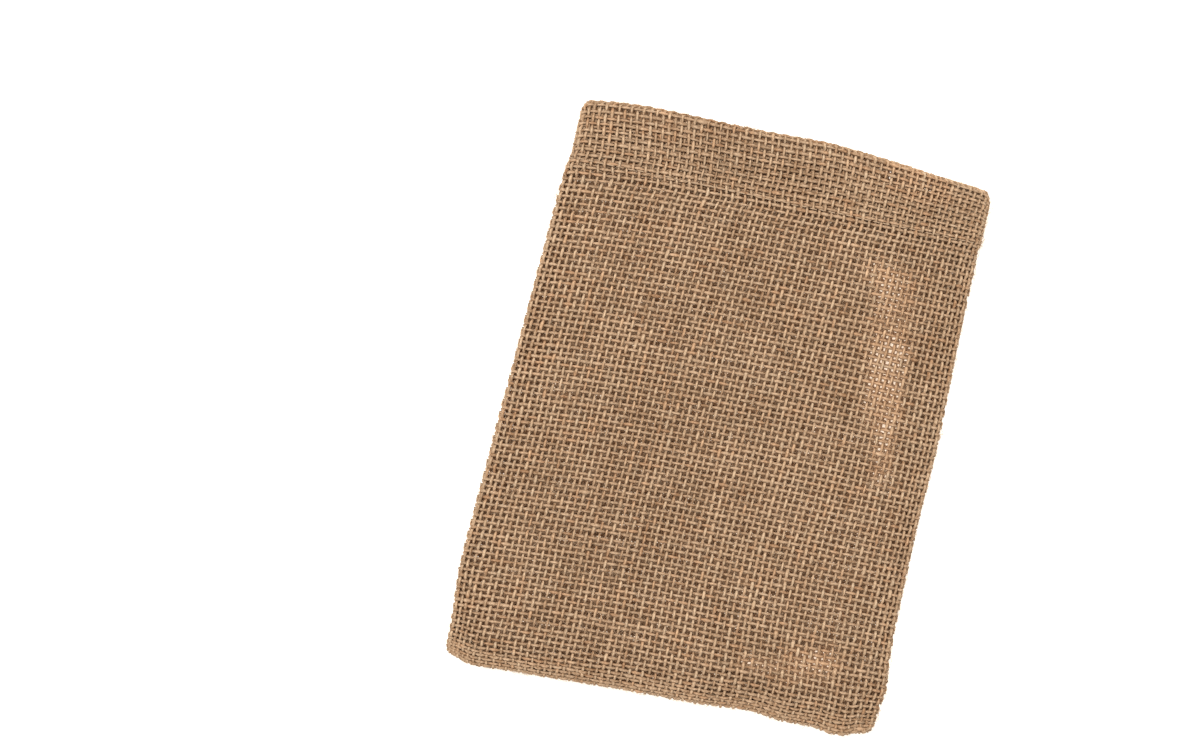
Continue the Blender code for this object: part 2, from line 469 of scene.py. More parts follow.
@dataclass(frozen=True)
class PouchForm:
    """The form in which the cloth lies: its outline, how its yarns run, and its heights."""

    row_step: float = 1.5
    columns: int = 150
    fold_steps: int = 12
    samples: int = 400

    def left(self, y: np.ndarray) -> np.ndarray:
        """The left end of the cloth's middle."""
        return read(SIDES, "along", "left", y) + INSET

    def right(self, y: np.ndarray) -> np.ndarray:
        """The right end of the cloth's middle."""
        return read(SIDES, "along", "right", y) - INSET

    def bottom(self, x: np.ndarray) -> np.ndarray:
        """The lower end of the cloth's middle."""
        return read(ENDS, "across", "bottom", x) + INSET

    def mouth(self, x: np.ndarray) -> np.ndarray:
        """Where the cloth's middle starts to fold at the mouth, a little lower towards both corners."""
        from_corner = np.minimum(x - SIDES[-1].left, SIDES[-1].right - x)
        drop = MOUTH_CORNER * np.clip(1 - from_corner / MOUTH_CORNER, 0.0, 1.0) ** 2
        return read(ENDS, "across", "mouth", x) - drop - INSET - HEM_STEP / 2

    def hem_line(self, x: np.ndarray) -> np.ndarray:
        """Where the hem is stitched."""
        return HEM_LINE + HEM_LINE_RISE * x

    def section(self, name: str, x: np.ndarray, y: np.ndarray) -> np.ndarray:
        """Reads the front panel's sections, which follow the hem's line."""
        return read(SECTIONS, "along", name, y + HEM_SECTION - self.hem_line(x))

    def roll(self, x: np.ndarray, y: np.ndarray) -> np.ndarray:
        """The radius of the edge's roll, which is wider where the hem lies inside it."""
        return EDGE_ROLL + HEM_STEP * self.section("hem", x, y)

    def weft_place(self, x: np.ndarray, at: float) -> np.ndarray:
        """Where a weft runs.

        Args:
            x: places across the pouch.
            at: the weft's place along at the pouch's middle.

        Returns:
            Its places along.
        """
        rise = read(RISES, "across", "rise", x)
        low, high = self.bottom(0.0), self.mouth(0.0)
        near_mouth = np.clip((at - high) / MOUTH_BEND + 1, 0.0, 1.0) ** BEND_POWER
        near_bottom = np.clip((low - at) / BOTTOM_BEND + 1, 0.0, 1.0) ** BEND_POWER
        mouth_bend = self.mouth(x) - high - rise
        bottom_bend = self.bottom(x) - low - rise
        return at + rise + mouth_bend * near_mouth + bottom_bend * near_bottom

    def warp_place(self, share: np.ndarray, y: np.ndarray, radius: np.ndarray) -> np.ndarray:
        """Where the warps of the flat part run.

        Args:
            share: each warp's share of the clear width.
            y: places along.
            radius: the roll's radius there.

        Returns:
            Their places across.
        """
        climbed = (y + HALF_LENGTH) / (2 * HALF_LENGTH)
        left_line = LEFT_LINE[0] + (LEFT_LINE[1] - LEFT_LINE[0]) * climbed + INSET
        right_line = RIGHT_LINE[0] + (RIGHT_LINE[1] - RIGHT_LINE[0]) * climbed - INSET
        straight = left_line + radius + share * (right_line - left_line - 2 * radius)
        bumps = (self.left(y) - left_line) * (1 - soft_step(share / BUMP_REACH))
        bumps += (self.right(y) - right_line) * (1 - soft_step((1 - share) / BUMP_REACH))
        places = (0.0, *SWAY_SHARES, 1.0)
        sway = np.zeros_like(straight)
        for k, name in enumerate(("left", "middle", "right")):
            hat = np.interp(share, places[k : k + 3], (0.0, 1.0, 0.0))
            sway += hat * read(SWAYS, "along", name, y)
        return straight + bumps + sway

    def swell(self, x: np.ndarray, y: np.ndarray, edge_height: np.ndarray) -> np.ndarray:
        """How far the front panel stands above its rolled edge.

        Args:
            x: places across.
            y: places along.
            edge_height: the height of the cloth's middle at the end of the roll.

        Returns:
            The heights above that.
        """
        from_side = np.minimum(x - self.left(y), self.right(y) - x)
        from_bottom = y - self.bottom(x)
        height = self.section("height", x, y)
        shoulder = self.section("shoulder", x, y)
        reach = climb(from_side, shoulder) * climb(from_bottom, BOTTOM_SHOULDER)
        relief = HEM_VALLEY * np.exp(-(((y - self.hem_line(x)) / HEM_VALLEY_REACH) ** 2))
        for r in RELIEFS:
            away = ((x - r.across) / r.reach_across) ** 2 + ((y - r.along) / r.reach_along) ** 2
            relief += r.rise * np.exp(-away)
        near_edge = climb(np.minimum(from_side, from_bottom), RELIEF_SHOULDER)
        return (height - edge_height) * reach + relief * near_edge

    def stations(self) -> list[Station]:
        """The rows of a panel: the tucked bottom edge, the body, the fold, and the hem's inside.

        Returns:
            The rows, in the order in which the cloth runs.
        """
        bend = edge_bend()
        low = float(self.bottom(0.0))
        high = float(self.mouth(0.0))
        rows = []
        for fixed, rolled, lip, turn in zip(*bend):
            rows.append(Station(low + fixed + EDGE_ROLL * rolled, 0.0, 0.0, lip, turn))
        start = low + EDGE_ROLL
        count = int((high - start) / self.row_step)
        rows += [Station(at, 0.0, 0.0, 1.0, 1.0) for at in np.linspace(start, high, count)]
        radius = HEM_STEP / 2
        for step in range(1, self.fold_steps):
            angle = math.pi * step / self.fold_steps
            depth = radius * (1 - math.cos(angle))
            rows.append(Station(high, depth, radius * math.sin(angle), 1.0, 1.0))
        count = int((high - HEM_END) / self.row_step)
        rows += [Station(at, HEM_STEP, 0.0, 1.0, 1.0) for at in np.linspace(high, HEM_END, count)]
        return rows

    def row(self, face: Face, station: Station) -> np.ndarray:
        """The cloth's middle across one station.

        Args:
            face: the panel.
            station: the row.

        Returns:
            An array of columns by X, Y, Z.
        """
        bend = edge_bend()
        edge = len(bend.fixed)
        share = np.linspace(0.0, 1.0, self.columns)
        lip = np.concatenate([bend.lip, np.ones(self.columns), bend.lip[::-1]])
        turn = np.concatenate([bend.turn, np.ones(self.columns), bend.turn[::-1]])
        x = np.linspace(-75.0, 75.0, len(lip))
        depth = station.depth
        for _ in range(3):
            y = self.weft_place(x, station.at)
            radius = self.roll(x, y)
            inner = radius - depth
            y_flat = y[edge:-edge]
            x_flat = self.warp_place(share, y_flat, radius[edge:-edge])
            x_left = self.left(y[:edge]) + depth + bend.fixed + inner[:edge] * bend.rolled
            x_right = self.right(y[-edge:]) - depth - bend.fixed[::-1] - inner[-edge:] * bend.rolled[::-1]
            x = np.concatenate([x_left, x_flat, x_right])
        side, above = round_corner(x - self.left(y), y - self.bottom(x), LEFT_CORNER)
        x = self.left(y) + side
        side, above = round_corner(self.right(y) - x, above, RIGHT_CORNER)
        x = self.right(y) - side
        y = self.bottom(x) + above + station.forward
        seam = REST_HEIGHT + radius + EDGE_TURN + TUCK_HEIGHT
        tucked = lip * station.lip
        step = TUCK_HEIGHT + EDGE_TURN * tucked + inner * turn * station.turn
        if face is Face.BACK:
            return np.stack([x, y, seam - step], axis=1)
        edge_height = seam + TUCK_HEIGHT + EDGE_TURN + radius
        z = seam + step + self.swell(x, y - station.forward, edge_height) * tucked
        return np.stack([x, y, z], axis=1)

    def drape(self, face: Face) -> "Drape":
        """A panel's whole cloth, measured along its own surface.

        Args:
            face: the panel.

        Returns:
            The cloth's points and normals by row and column, with its lengths and widths.
        """
        grid = np.array([self.row(face, station) for station in self.stations()])
        edge = len(edge_bend().fixed)
        shares = np.linspace(0.0, 1.0, self.samples + 1)
        points = np.empty((len(grid), len(shares), 3))
        widths = np.empty(len(grid))
        for k, row in enumerate(grid):
            gone = np.concatenate([[0.0], np.cumsum(np.linalg.norm(np.diff(row, axis=0), axis=1))])
            gone[edge:-edge] = np.linspace(gone[edge], gone[-edge - 1], self.columns)
            widths[k] = gone[-1]
            for axis in range(3):
                points[k, :, axis] = np.interp(shares, gone / gone[-1], row[:, axis])
        middle = points[:, self.samples // 2]
        steps = np.linalg.norm(np.diff(middle, axis=0), axis=1)
        lengths = np.concatenate([[0.0], np.cumsum(np.maximum(steps, 1e-6))])
        across = np.gradient(points, axis=1)
        along = np.gradient(points, axis=0)
        normals = np.cross(across, along)
        normals /= np.linalg.norm(normals, axis=2, keepdims=True)
        if face is Face.BACK:
            normals = -normals
        return Drape(points, normals, lengths, widths)


SEEK_ROUNDS = 6


@dataclass(frozen=True)
class Drape:
    """The middle surface of a panel's cloth: points and outward normals by row and by share of the width."""

    points: np.ndarray
    normals: np.ndarray
    lengths: np.ndarray
    widths: np.ndarray

    @property
    def length(self) -> float:
        """The cloth's length along its middle, from the bottom tuck to the end of the hem."""
        return float(self.lengths[-1])

    @property
    def mean_width(self) -> float:
        """The cloth's mean width, from tuck to tuck."""
        return float(self.widths.mean())

    def width(self, v: np.ndarray) -> np.ndarray:
        """The cloth's width at some lengths, from tuck to tuck."""
        return np.interp(v, self.lengths, self.widths)

    def at(self, u: np.ndarray, v: np.ndarray) -> tuple[np.ndarray, np.ndarray]:
        """Points and normals of the cloth.

        Args:
            u: shares of the width.
            v: lengths from the bottom tuck.

        Returns:
            The points, and the outward normals.
        """
        last = self.points.shape[1] - 1
        column = np.clip(u, 0.0, 1.0) * last
        left = np.minimum(column.astype(int), last - 1)
        right_share = (column - left)[..., None]
        row = np.clip(np.searchsorted(self.lengths, v, side="right") - 1, 0, len(self.lengths) - 2)
        gap = self.lengths[row + 1] - self.lengths[row]
        high_share = np.clip((v - self.lengths[row]) / gap, 0.0, 1.0)[..., None]

        def blend(values: np.ndarray) -> np.ndarray:
            """Reads values between their rows and columns."""
            low = values[row, left] * (1 - right_share) + values[row, left + 1] * right_share
            high = values[row + 1, left] * (1 - right_share) + values[row + 1, left + 1] * right_share
            return low * (1 - high_share) + high * high_share

        normal = blend(self.normals)
        normal /= np.linalg.norm(normal, axis=-1, keepdims=True)
        return blend(self.points), normal

    def seek(
        self, target: np.ndarray, u: np.ndarray, v: np.ndarray, way: np.ndarray
    ) -> tuple[np.ndarray, np.ndarray]:
        """Finds where the cloth lies straight above or below some places.

        Args:
            target: the places by X and Y.
            u: shares of the width to start from.
            v: lengths to start from.
            way: 1 where length grows towards the mouth, and -1 where it grows away from it.

        Returns:
            The shares and lengths.
        """
        for _ in range(SEEK_ROUNDS):
            place, _ = self.at(u, v)
            away = target - place[..., :2]
            u = u + away[..., 0] / self.width(v)
            v = v + away[..., 1] * way
        return u, v


@dataclass(frozen=True)
class Unevenness:
    """How far crossings stray, in millimetres: a yarn as a whole, along itself, and the cloth as a whole.

    A yarn wanders in long and in short waves, given as how many crossings a shift holds and how strong it is.
    """

    yarn: float
    wander: float
    cloth: float
    waves: tuple[tuple[float, float], ...] = ((4.0, 0.6), (1.5, 1.0))
    cloth_reach: float = 9.0

    def shifts(self, seed: int, along: bool) -> np.ndarray:
        """The shifts of a panel's crossings one way.

        Args:
            seed: what the random values start from.
            along: True for the shifts of the wefts along the cloth, False for those of the warps across it.

        Returns:
            The shifts, by warp and weft.
        """
        rng = np.random.default_rng(seed)
        shape = (WARPS, WEFTS)
        yarn = self.yarn * rng.standard_normal((1, WEFTS) if along else (WARPS, 1))
        wander = np.zeros(shape)
        for reach, strength in self.waves:
            wander += strength * drift(rng, shape, (reach, 0.0) if along else (0.0, reach))
        cloth = drift(rng, shape, (self.cloth_reach, self.cloth_reach))
        return yarn + self.wander * wander + self.cloth * cloth


COMMON_ACROSS = Unevenness(0.07, 0.10, 0.22)
COMMON_ALONG = Unevenness(0.035, 0.085, 0.22)
COMMON_SEED = 5
OWN = Unevenness(0.03, 0.04, 0.03)


class Crowding(NamedTuple):
    """Yarns that lie closer together: around which length, how far from it, and by what share."""

    place: float
    reach: float
    more: float

    def moved(self, start: float) -> "Crowding":
        """The same crowding, with its place counted from a start."""
        return self._replace(place=start + self.place)


LEFT_CROWDING = Crowding(2.5, 6.0, 0.3)
RIGHT_CROWDING = Crowding(-2.5, 4.5, 0.4)
BOTTOM_CROWDINGS = (Crowding(2.5, 5.0, 0.9), Crowding(3.0, 9.0, 0.12))
HEM_CROWDING = Crowding(0.0, 3.0, 0.08)
FOLD_CROWDING = Crowding(0.0, 1.8, 0.35)
CROWDING_STEPS = 4000


def crowded(total: float, count: int, crowdings: tuple[Crowding, ...]) -> tuple[np.ndarray, np.ndarray]:
    """Spreads yarns over a length, closer together in some places.

    Args:
        total: the length.
        count: how many yarns it takes.
        crowdings: the places where they lie closer together.

    Returns:
        A fine table of yarn numbers, and of the lengths at which they lie.
    """
    lengths = np.linspace(0.0, total, CROWDING_STEPS)
    density = np.ones_like(lengths)
    for place, reach, more in crowdings:
        density += more * np.exp(-(((lengths - place) / reach) ** 2))
    gone = np.concatenate([[0.0], np.cumsum((density[1:] + density[:-1]) / 2)])
    return gone / gone[-1] * count, lengths


def between(values: np.ndarray) -> np.ndarray:
    """The mean of every four neighbours in a grid."""
    return (values[1:, 1:] + values[:-1, 1:] + values[1:, :-1] + values[:-1, :-1]) / 4


@dataclass
class Weave:
    """Where the yarns of a panel cross each other, on the panel's drape.

    The back panel's crossings lie under the middles of the front panel's holes as the camera sees them, so
    that the floor shows only where the holes of all layers line up. The front's weave, ahead, tells where.
    spot_reach and spot_limit make the bright places uneven. free_band is how far inside the edges a crossing
    may stray fully, and furthest how far it may move to lie under a hole, both in pitches. fold_band is how
    near the fold, in millimetres, the wefts keep their place.
    """

    face: Face
    form: PouchForm
    drape: Drape
    seed: int
    ahead: "Weave | None" = None
    spot_reach: float = 0.8
    spot_limit: float = 1.5
    free_band: float = 2.5
    furthest: float = 1.5
    fold_band: float = 1.5

    def __post_init__(self) -> None:
        """Lays out the crossings."""
        drape = self.drape
        self.fold = drape.length - (float(self.form.mouth(0.0)) - HEM_END) - math.pi * HEM_STEP / 4
        self.pitch = drape.length / WEFTS
        if self.ahead is None:
            self.u, self.v = self.spread()
            place, _ = drape.at(self.u, self.v)
            self.lit, lined_up = clearings(place[..., 0], place[..., 1])
            spots = drift(np.random.default_rng(self.seed), self.shape, (self.spot_reach, self.spot_reach))
            self.lined_up = lined_up * np.clip(1 + CLEARING_SPOTS * spots, 0.0, self.spot_limit)
            across = self.folded_back(COMMON_ACROSS.shifts(COMMON_SEED, False), 1.0)
            along = self.folded_back(COMMON_ALONG.shifts(COMMON_SEED + 1, True), -1.0)
            self.stray(self.inner_phase(), across, along)
        else:
            self.follow(self.ahead)
        self.stray(0.0, OWN.shifts(self.seed, False), OWN.shifts(self.seed + 1, True))

    @property
    def shape(self) -> tuple[int, int]:
        """How many warps and wefts cross."""
        return self.u.shape

    def spread(self) -> tuple[np.ndarray, np.ndarray]:
        """Places the crossings without any unevenness, one weft right on the fold.

        Returns:
            Shares of the width and lengths, by warp and weft.
        """
        width = self.drape.mean_width
        numbers, places = crowded(width, WARPS, (LEFT_CROWDING, RIGHT_CROWDING.moved(width)))
        u = np.interp(np.arange(WARPS) + 0.5, numbers, places) / width
        hem_line = self.fold - (float(self.form.mouth(0.0)) - HEM_LINE) - HEM_STEP / 2
        high = (HEM_CROWDING.moved(hem_line), FOLD_CROWDING.moved(self.fold))
        self.numbers, self.lengths = crowded(self.drape.length, WEFTS, BOTTOM_CROWDINGS + high)
        at_fold = float(np.interp(self.fold, self.lengths, self.numbers))
        self.shift = at_fold - 0.5 - round(at_fold - 0.5)
        v = np.interp(np.arange(WEFTS) + 0.5 + self.shift, self.numbers, self.lengths)
        return u[:, None] + np.zeros((1, WEFTS)), v[None, :] + np.zeros((WARPS, 1))

    def follow(self, front: "Weave") -> None:
        """Puts the crossings under the front panel's holes, or under its crossings in a clearing.

        Args:
            front: the front panel's weave.
        """
        self.lined_up, self.lit = between(front.lined_up), between(front.lit)
        holes = []
        for values in (front.u, front.v):
            middle = between(values)
            for _ in range(2):
                missed = np.zeros_like(values)
                missed[1:-1, 1:-1] = values[1:-1, 1:-1] - between(middle)
                middle = middle + between(missed)
            holes.append(middle + (values[:-1, :-1] - middle) * self.lined_up)
        u, v = holes
        target, _ = front.drape.at(u, v)
        v = v * self.fold / front.fold
        place, _ = self.drape.at(u, v)
        lift = (target[..., 2] - place[..., 2]) / (CAMERA_DISTANCE - target[..., 2])
        under = target[..., :2] + (target[..., :2] - np.array(CAMERA_FOOT)) * lift[..., None]
        sought_u, sought_v = self.drape.seek(under, u, v, np.where(v < self.fold, 1.0, -1.0))
        free = self.free_share(u, v) * soft_step(np.abs(v - self.fold) / self.pitch - 0.5)
        furthest = self.furthest * self.pitch
        self.u = u + (sought_u - u) * free
        self.v = v + np.clip(sought_v - v, -furthest, furthest) * free

    def free_share(self, u: np.ndarray, v: np.ndarray) -> np.ndarray:
        """How freely a crossing may stray.

        Args:
            u: the crossings' places across, as shares of the cloth's width.
            v: their places along the cloth.

        Returns:
            0 at the sewn edges, up to 1 a few yarns inside them.
        """
        from_side = np.minimum(u, 1 - u) * self.drape.width(v)
        from_end = np.minimum(v, self.drape.length - v)
        return soft_step(np.minimum(from_side, from_end) / (self.free_band * self.pitch))

    def opposite(self) -> np.ndarray:
        """The number of the outer weft that each of the hem's inner wefts lies behind."""
        return np.interp(2 * self.fold - self.v[0], self.lengths, self.numbers) - 0.5 - self.shift

    def folded_back(self, shifts: np.ndarray, way: float) -> np.ndarray:
        """Lets the hem's inside stray as the outside in front of it does.

        Args:
            shifts: random shifts by warp and weft.
            way: 1 for shifts across the cloth, and -1 for those along it.

        Returns:
            The shifts, those of the hem's inside taken from its outside.
        """
        number = self.opposite()
        left = np.clip(np.floor(number).astype(int), 0, WEFTS - 2)
        share = number - left
        outside = shifts[:, left] * (1 - share) + shifts[:, left + 1] * share
        return np.where(self.v > self.fold, way * outside, shifts)

    def inner_phase(self) -> np.ndarray:
        """Shifts the hem's inner wefts behind the outer ones' holes, or onto them where all line up.

        Returns:
            The shifts along the cloth, by warp and weft.
        """
        inside = soft_step((self.v - self.fold) / (2 * self.pitch))
        number = self.opposite()
        phase = number - np.rint(number)
        return inside * self.pitch * (phase + 0.5 * (1 - self.lined_up))

    def stray(self, phase: np.ndarray | float, across: np.ndarray, along: np.ndarray) -> None:
        """Moves the crossings by some shifts, in millimetres.

        Args:
            phase: shifts along the cloth that are needed.
            across: random shifts across the cloth.
            along: random shifts along the cloth.
        """
        warps, wefts = self.shape
        free = self.free_share(self.u, self.v)
        on_fold = 1 - np.exp(-(((self.v - self.fold) / self.fold_band) ** 2))
        self.u = self.u + across[:warps, :wefts] * free / self.drape.width(self.v)
        self.v = self.v + (phase + along[:warps, :wefts]) * free * on_fold

    def path(self, direction: Direction) -> tuple[np.ndarray, np.ndarray, np.ndarray]:
        """The rings of one set of yarns: two to a crossing, a quarter of the pitch to each side.

        Args:
            direction: the set.

        Returns:
            Shares of the width, lengths, and 1 or -1 for over and under, each by yarn and ring.
        """
        u, v = (self.u, self.v) if direction is Direction.WARP else (self.u.T, self.v.T)
        yarns, crossings = u.shape
        index = np.arange(crossings)
        places = np.stack([index - 0.25, index + 0.25], axis=1).ravel()
        left = np.clip(np.floor(places).astype(int), 0, crossings - 2)
        share = places - left
        ring_u = u[:, left] * (1 - share) + u[:, left + 1] * share
        ring_v = v[:, left] * (1 - share) + v[:, left + 1] * share
        over = 1.0 - 2.0 * ((np.arange(yarns)[:, None] + np.repeat(index, 2)[None, :]) % 2)
        if direction is Direction.WEFT:
            over = -over
        return ring_u, ring_v, over


# The loom on which yarns are laid straight before they are draped: ring radius, ring step and yarn spacing
LOOM_RADIUS = 1.0
LOOM_STEP = 1.0
LOOM_SPACING = 10.0


def only(thing: bpy.types.Object) -> None:
    """Makes one object the selected and active one."""
    bpy.ops.object.select_all(action="DESELECT")
    thing.select_set(True)
    bpy.context.view_layer.objects.active = thing


def repeat(thing: bpy.types.Object, count: int, offset: tuple[float, float, float], joined: bool) -> None:
    """Repeats an object's mesh in a row.

    Args:
        thing: the object.
        count: how many there are in the end.
        offset: from each to the next.
        joined: whether the points that meet become one.
    """
    row = thing.modifiers.new("row", "ARRAY")
    row.use_relative_offset = False
    row.use_constant_offset = True
    row.constant_offset_displace = offset
    row.count = count
    row.use_merge_vertices = joined
    row.merge_threshold = LOOM_STEP / 100
    bpy.ops.object.modifier_apply(modifier=row.name)


def straight_yarns(name: str, yarns: int, rings: int, sides: int) -> bpy.types.Object:
    """Straight closed yarns beside each other, as on a loom.

    Args:
        name: the object's name.
        yarns: how many yarns.
        rings: how many rings of points each one has.
        sides: how many points a ring has.

    Returns:
        The object, its yarns up along Z and spaced along X.
    """
    bpy.ops.object.select_all(action="DESELECT")
    bpy.ops.mesh.primitive_cylinder_add(
        vertices=sides,
        radius=LOOM_RADIUS,
        depth=LOOM_STEP,
        end_fill_type="NOTHING",
        location=(0.0, 0.0, LOOM_STEP / 2),
    )
    yarn = bpy.context.object
    yarn.name = name
    yarn.data.name = name
    only(yarn)
    bpy.ops.object.transform_apply(location=True, rotation=False, scale=False)
    repeat(yarn, rings - 1, (0.0, 0.0, LOOM_STEP), True)
    bpy.ops.object.mode_set(mode="EDIT")
    bpy.ops.mesh.select_all(action="SELECT")
    bpy.ops.mesh.fill_holes(sides=sides)
    bpy.ops.mesh.select_all(action="SELECT")
    bpy.ops.mesh.normals_make_consistent(inside=False)
    bpy.ops.object.mode_set(mode="OBJECT")
    repeat(yarn, yarns, (LOOM_SPACING, 0.0, 0.0), False)
    bpy.ops.object.shade_smooth()
    return yarn


class LoomPlaces(NamedTuple):
    """Where each point of straight yarns belongs: its yarn, its ring and its angle round the yarn."""

    yarn: np.ndarray
    ring: np.ndarray
    angle: np.ndarray


def loom_places(thing: bpy.types.Object) -> LoomPlaces:
    """Reads off the loom which yarn, ring and angle each point has.

    Args:
        thing: the straight yarns, as they stand on the loom.

    Returns:
        The places, one for each point.
    """
    flat = np.empty(len(thing.data.vertices) * 3, np.float32)
    thing.data.vertices.foreach_get("co", flat)
    x, y, z = flat.reshape(-1, 3).astype(float).T
    yarn = np.rint(x / LOOM_SPACING).astype(int)
    ring = np.rint(z / LOOM_STEP).astype(int)
    return LoomPlaces(yarn, ring, np.arctan2(y, x - yarn * LOOM_SPACING))


class YarnPath(NamedTuple):
    """Yarns in space, by yarn and ring: the middle, the way up, half widths, half thicknesses and twist."""

    middle: np.ndarray
    up: np.ndarray
    half_width: np.ndarray
    half_height: np.ndarray
    twist: np.ndarray


def lay(thing: bpy.types.Object, places: LoomPlaces, path: YarnPath, rough: float, seed: int) -> None:
    """Moves straight yarns onto their paths.

    Args:
        thing: the object from the loom.
        places: what each of its points is.
        path: where the yarns go.
        rough: how far single points stray, as a share of the thickness.
        seed: what the random values start from.
    """
    tangent = np.gradient(path.middle, axis=1)
    tangent /= np.linalg.norm(tangent, axis=2, keepdims=True)
    up = path.up - tangent * np.sum(path.up * tangent, axis=2, keepdims=True)
    up /= np.linalg.norm(up, axis=2, keepdims=True)
    aside = np.cross(up, tangent)
    at = (places.yarn, places.ring)
    angle = places.angle + path.twist[at]
    stray = 1 + rough * np.random.default_rng(seed).standard_normal(len(angle))
    wide = (path.half_width[at] * np.cos(angle) * stray)[:, None]
    high = (path.half_height[at] * np.sin(angle) * stray)[:, None]
    points = path.middle[at] + aside[at] * wide + up[at] * high
    points[:, 2] = np.maximum(points[:, 2], CLEARANCE)
    thing.data.vertices.foreach_set("co", (points * MM).astype(np.float32).ravel())
    thing.data.update()


def add_maps(thing: bpy.types.Object, places: LoomPlaces, rings: int, yarns: int, step: float) -> None:
    """Gives yarns their two maps: one in centimetres along them and turns round them, one packed in strips.

    Args:
        thing: the object.
        places: what each of its points is.
        rings: how many rings a yarn has.
        yarns: how many yarns there are.
        step: millimetres from ring to ring.
    """
    mesh = thing.data
    corner = np.empty(len(mesh.loops), np.int32)
    mesh.loops.foreach_get("vertex_index", corner)
    starts = np.empty(len(mesh.polygons), np.int32)
    mesh.polygons.foreach_get("loop_start", starts)
    counts = np.empty(len(mesh.polygons), np.int32)
    mesh.polygons.foreach_get("loop_total", counts)
    turn = np.mod(places.angle[corner] / (2 * math.pi), 1.0)
    spread = np.maximum.reduceat(turn, starts) - np.minimum.reduceat(turn, starts)
    wraps = np.repeat(spread > 0.5, counts) & (turn < 0.5)
    turn = turn + wraps
    ring = places.ring[corner]
    yarn = places.yarn[corner]
    along = mesh.uv_layers.new(name="yarn")
    values = np.stack([ring * step * 0.1 + 0.37 * yarn, turn], axis=1)
    along.data.foreach_set("uv", values.astype(np.float32).ravel())
    strips = mesh.uv_layers.new(name="OFBake")
    packed = np.stack([0.001 + 0.998 * ring / (rings - 1), (yarn + 0.05 + 0.9 * turn / 1.17) / yarns], axis=1)
    strips.data.foreach_set("uv", packed.astype(np.float32).ravel())
    mesh.uv_layers.active = along
    along.active_render = True


def add_shades(thing: bpy.types.Object, name: str, values: np.ndarray) -> None:
    """Gives a mesh one number for each point, by name."""
    shades = thing.data.attributes.new(name, "FLOAT", "POINT")
    shades.data.foreach_set("value", values.astype(np.float32))


class YarnSize(NamedTuple):
    """How a set of yarns is spun and woven.

    half_width and half_height are a yarn's, rise is how far it goes over and under what it crosses, bead how
    much wider it is on top than below, and uneven how much one yarn differs from the next.
    """

    half_width: float
    half_height: float
    rise: float
    bead: float
    uneven: float


YARN_SIZES = {
    (Face.FRONT, Direction.WARP): YarnSize(0.51, 0.45, 0.37, 0.08, 0.08),
    (Face.FRONT, Direction.WEFT): YarnSize(0.52, 0.48, 0.36, 0.12, 0.05),
    (Face.BACK, Direction.WARP): YarnSize(0.58, 0.44, 0.35, 0.08, 0.06),
    (Face.BACK, Direction.WEFT): YarnSize(0.62, 0.46, 0.33, 0.12, 0.05),
}


class Wave(NamedTuple):
    """A soft change along yarns: over how many rings a value holds, and how strong it is."""

    reach: float
    strength: float

    def along(self, rng: np.random.Generator, shape: tuple[int, int]) -> np.ndarray:
        """The values of the wave, by yarn and ring."""
        return self.strength * drift(rng, shape, (0.0, self.reach))


def finish_piece(piece: bpy.types.Object, finish: "JuteFinish") -> None:
    """Gives a piece its finish and its body.

    Args:
        piece: the piece.
        finish: its finish.
    """
    piece.data.materials.clear()
    piece.data.materials.append(finish.material())
    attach(piece, BODY)


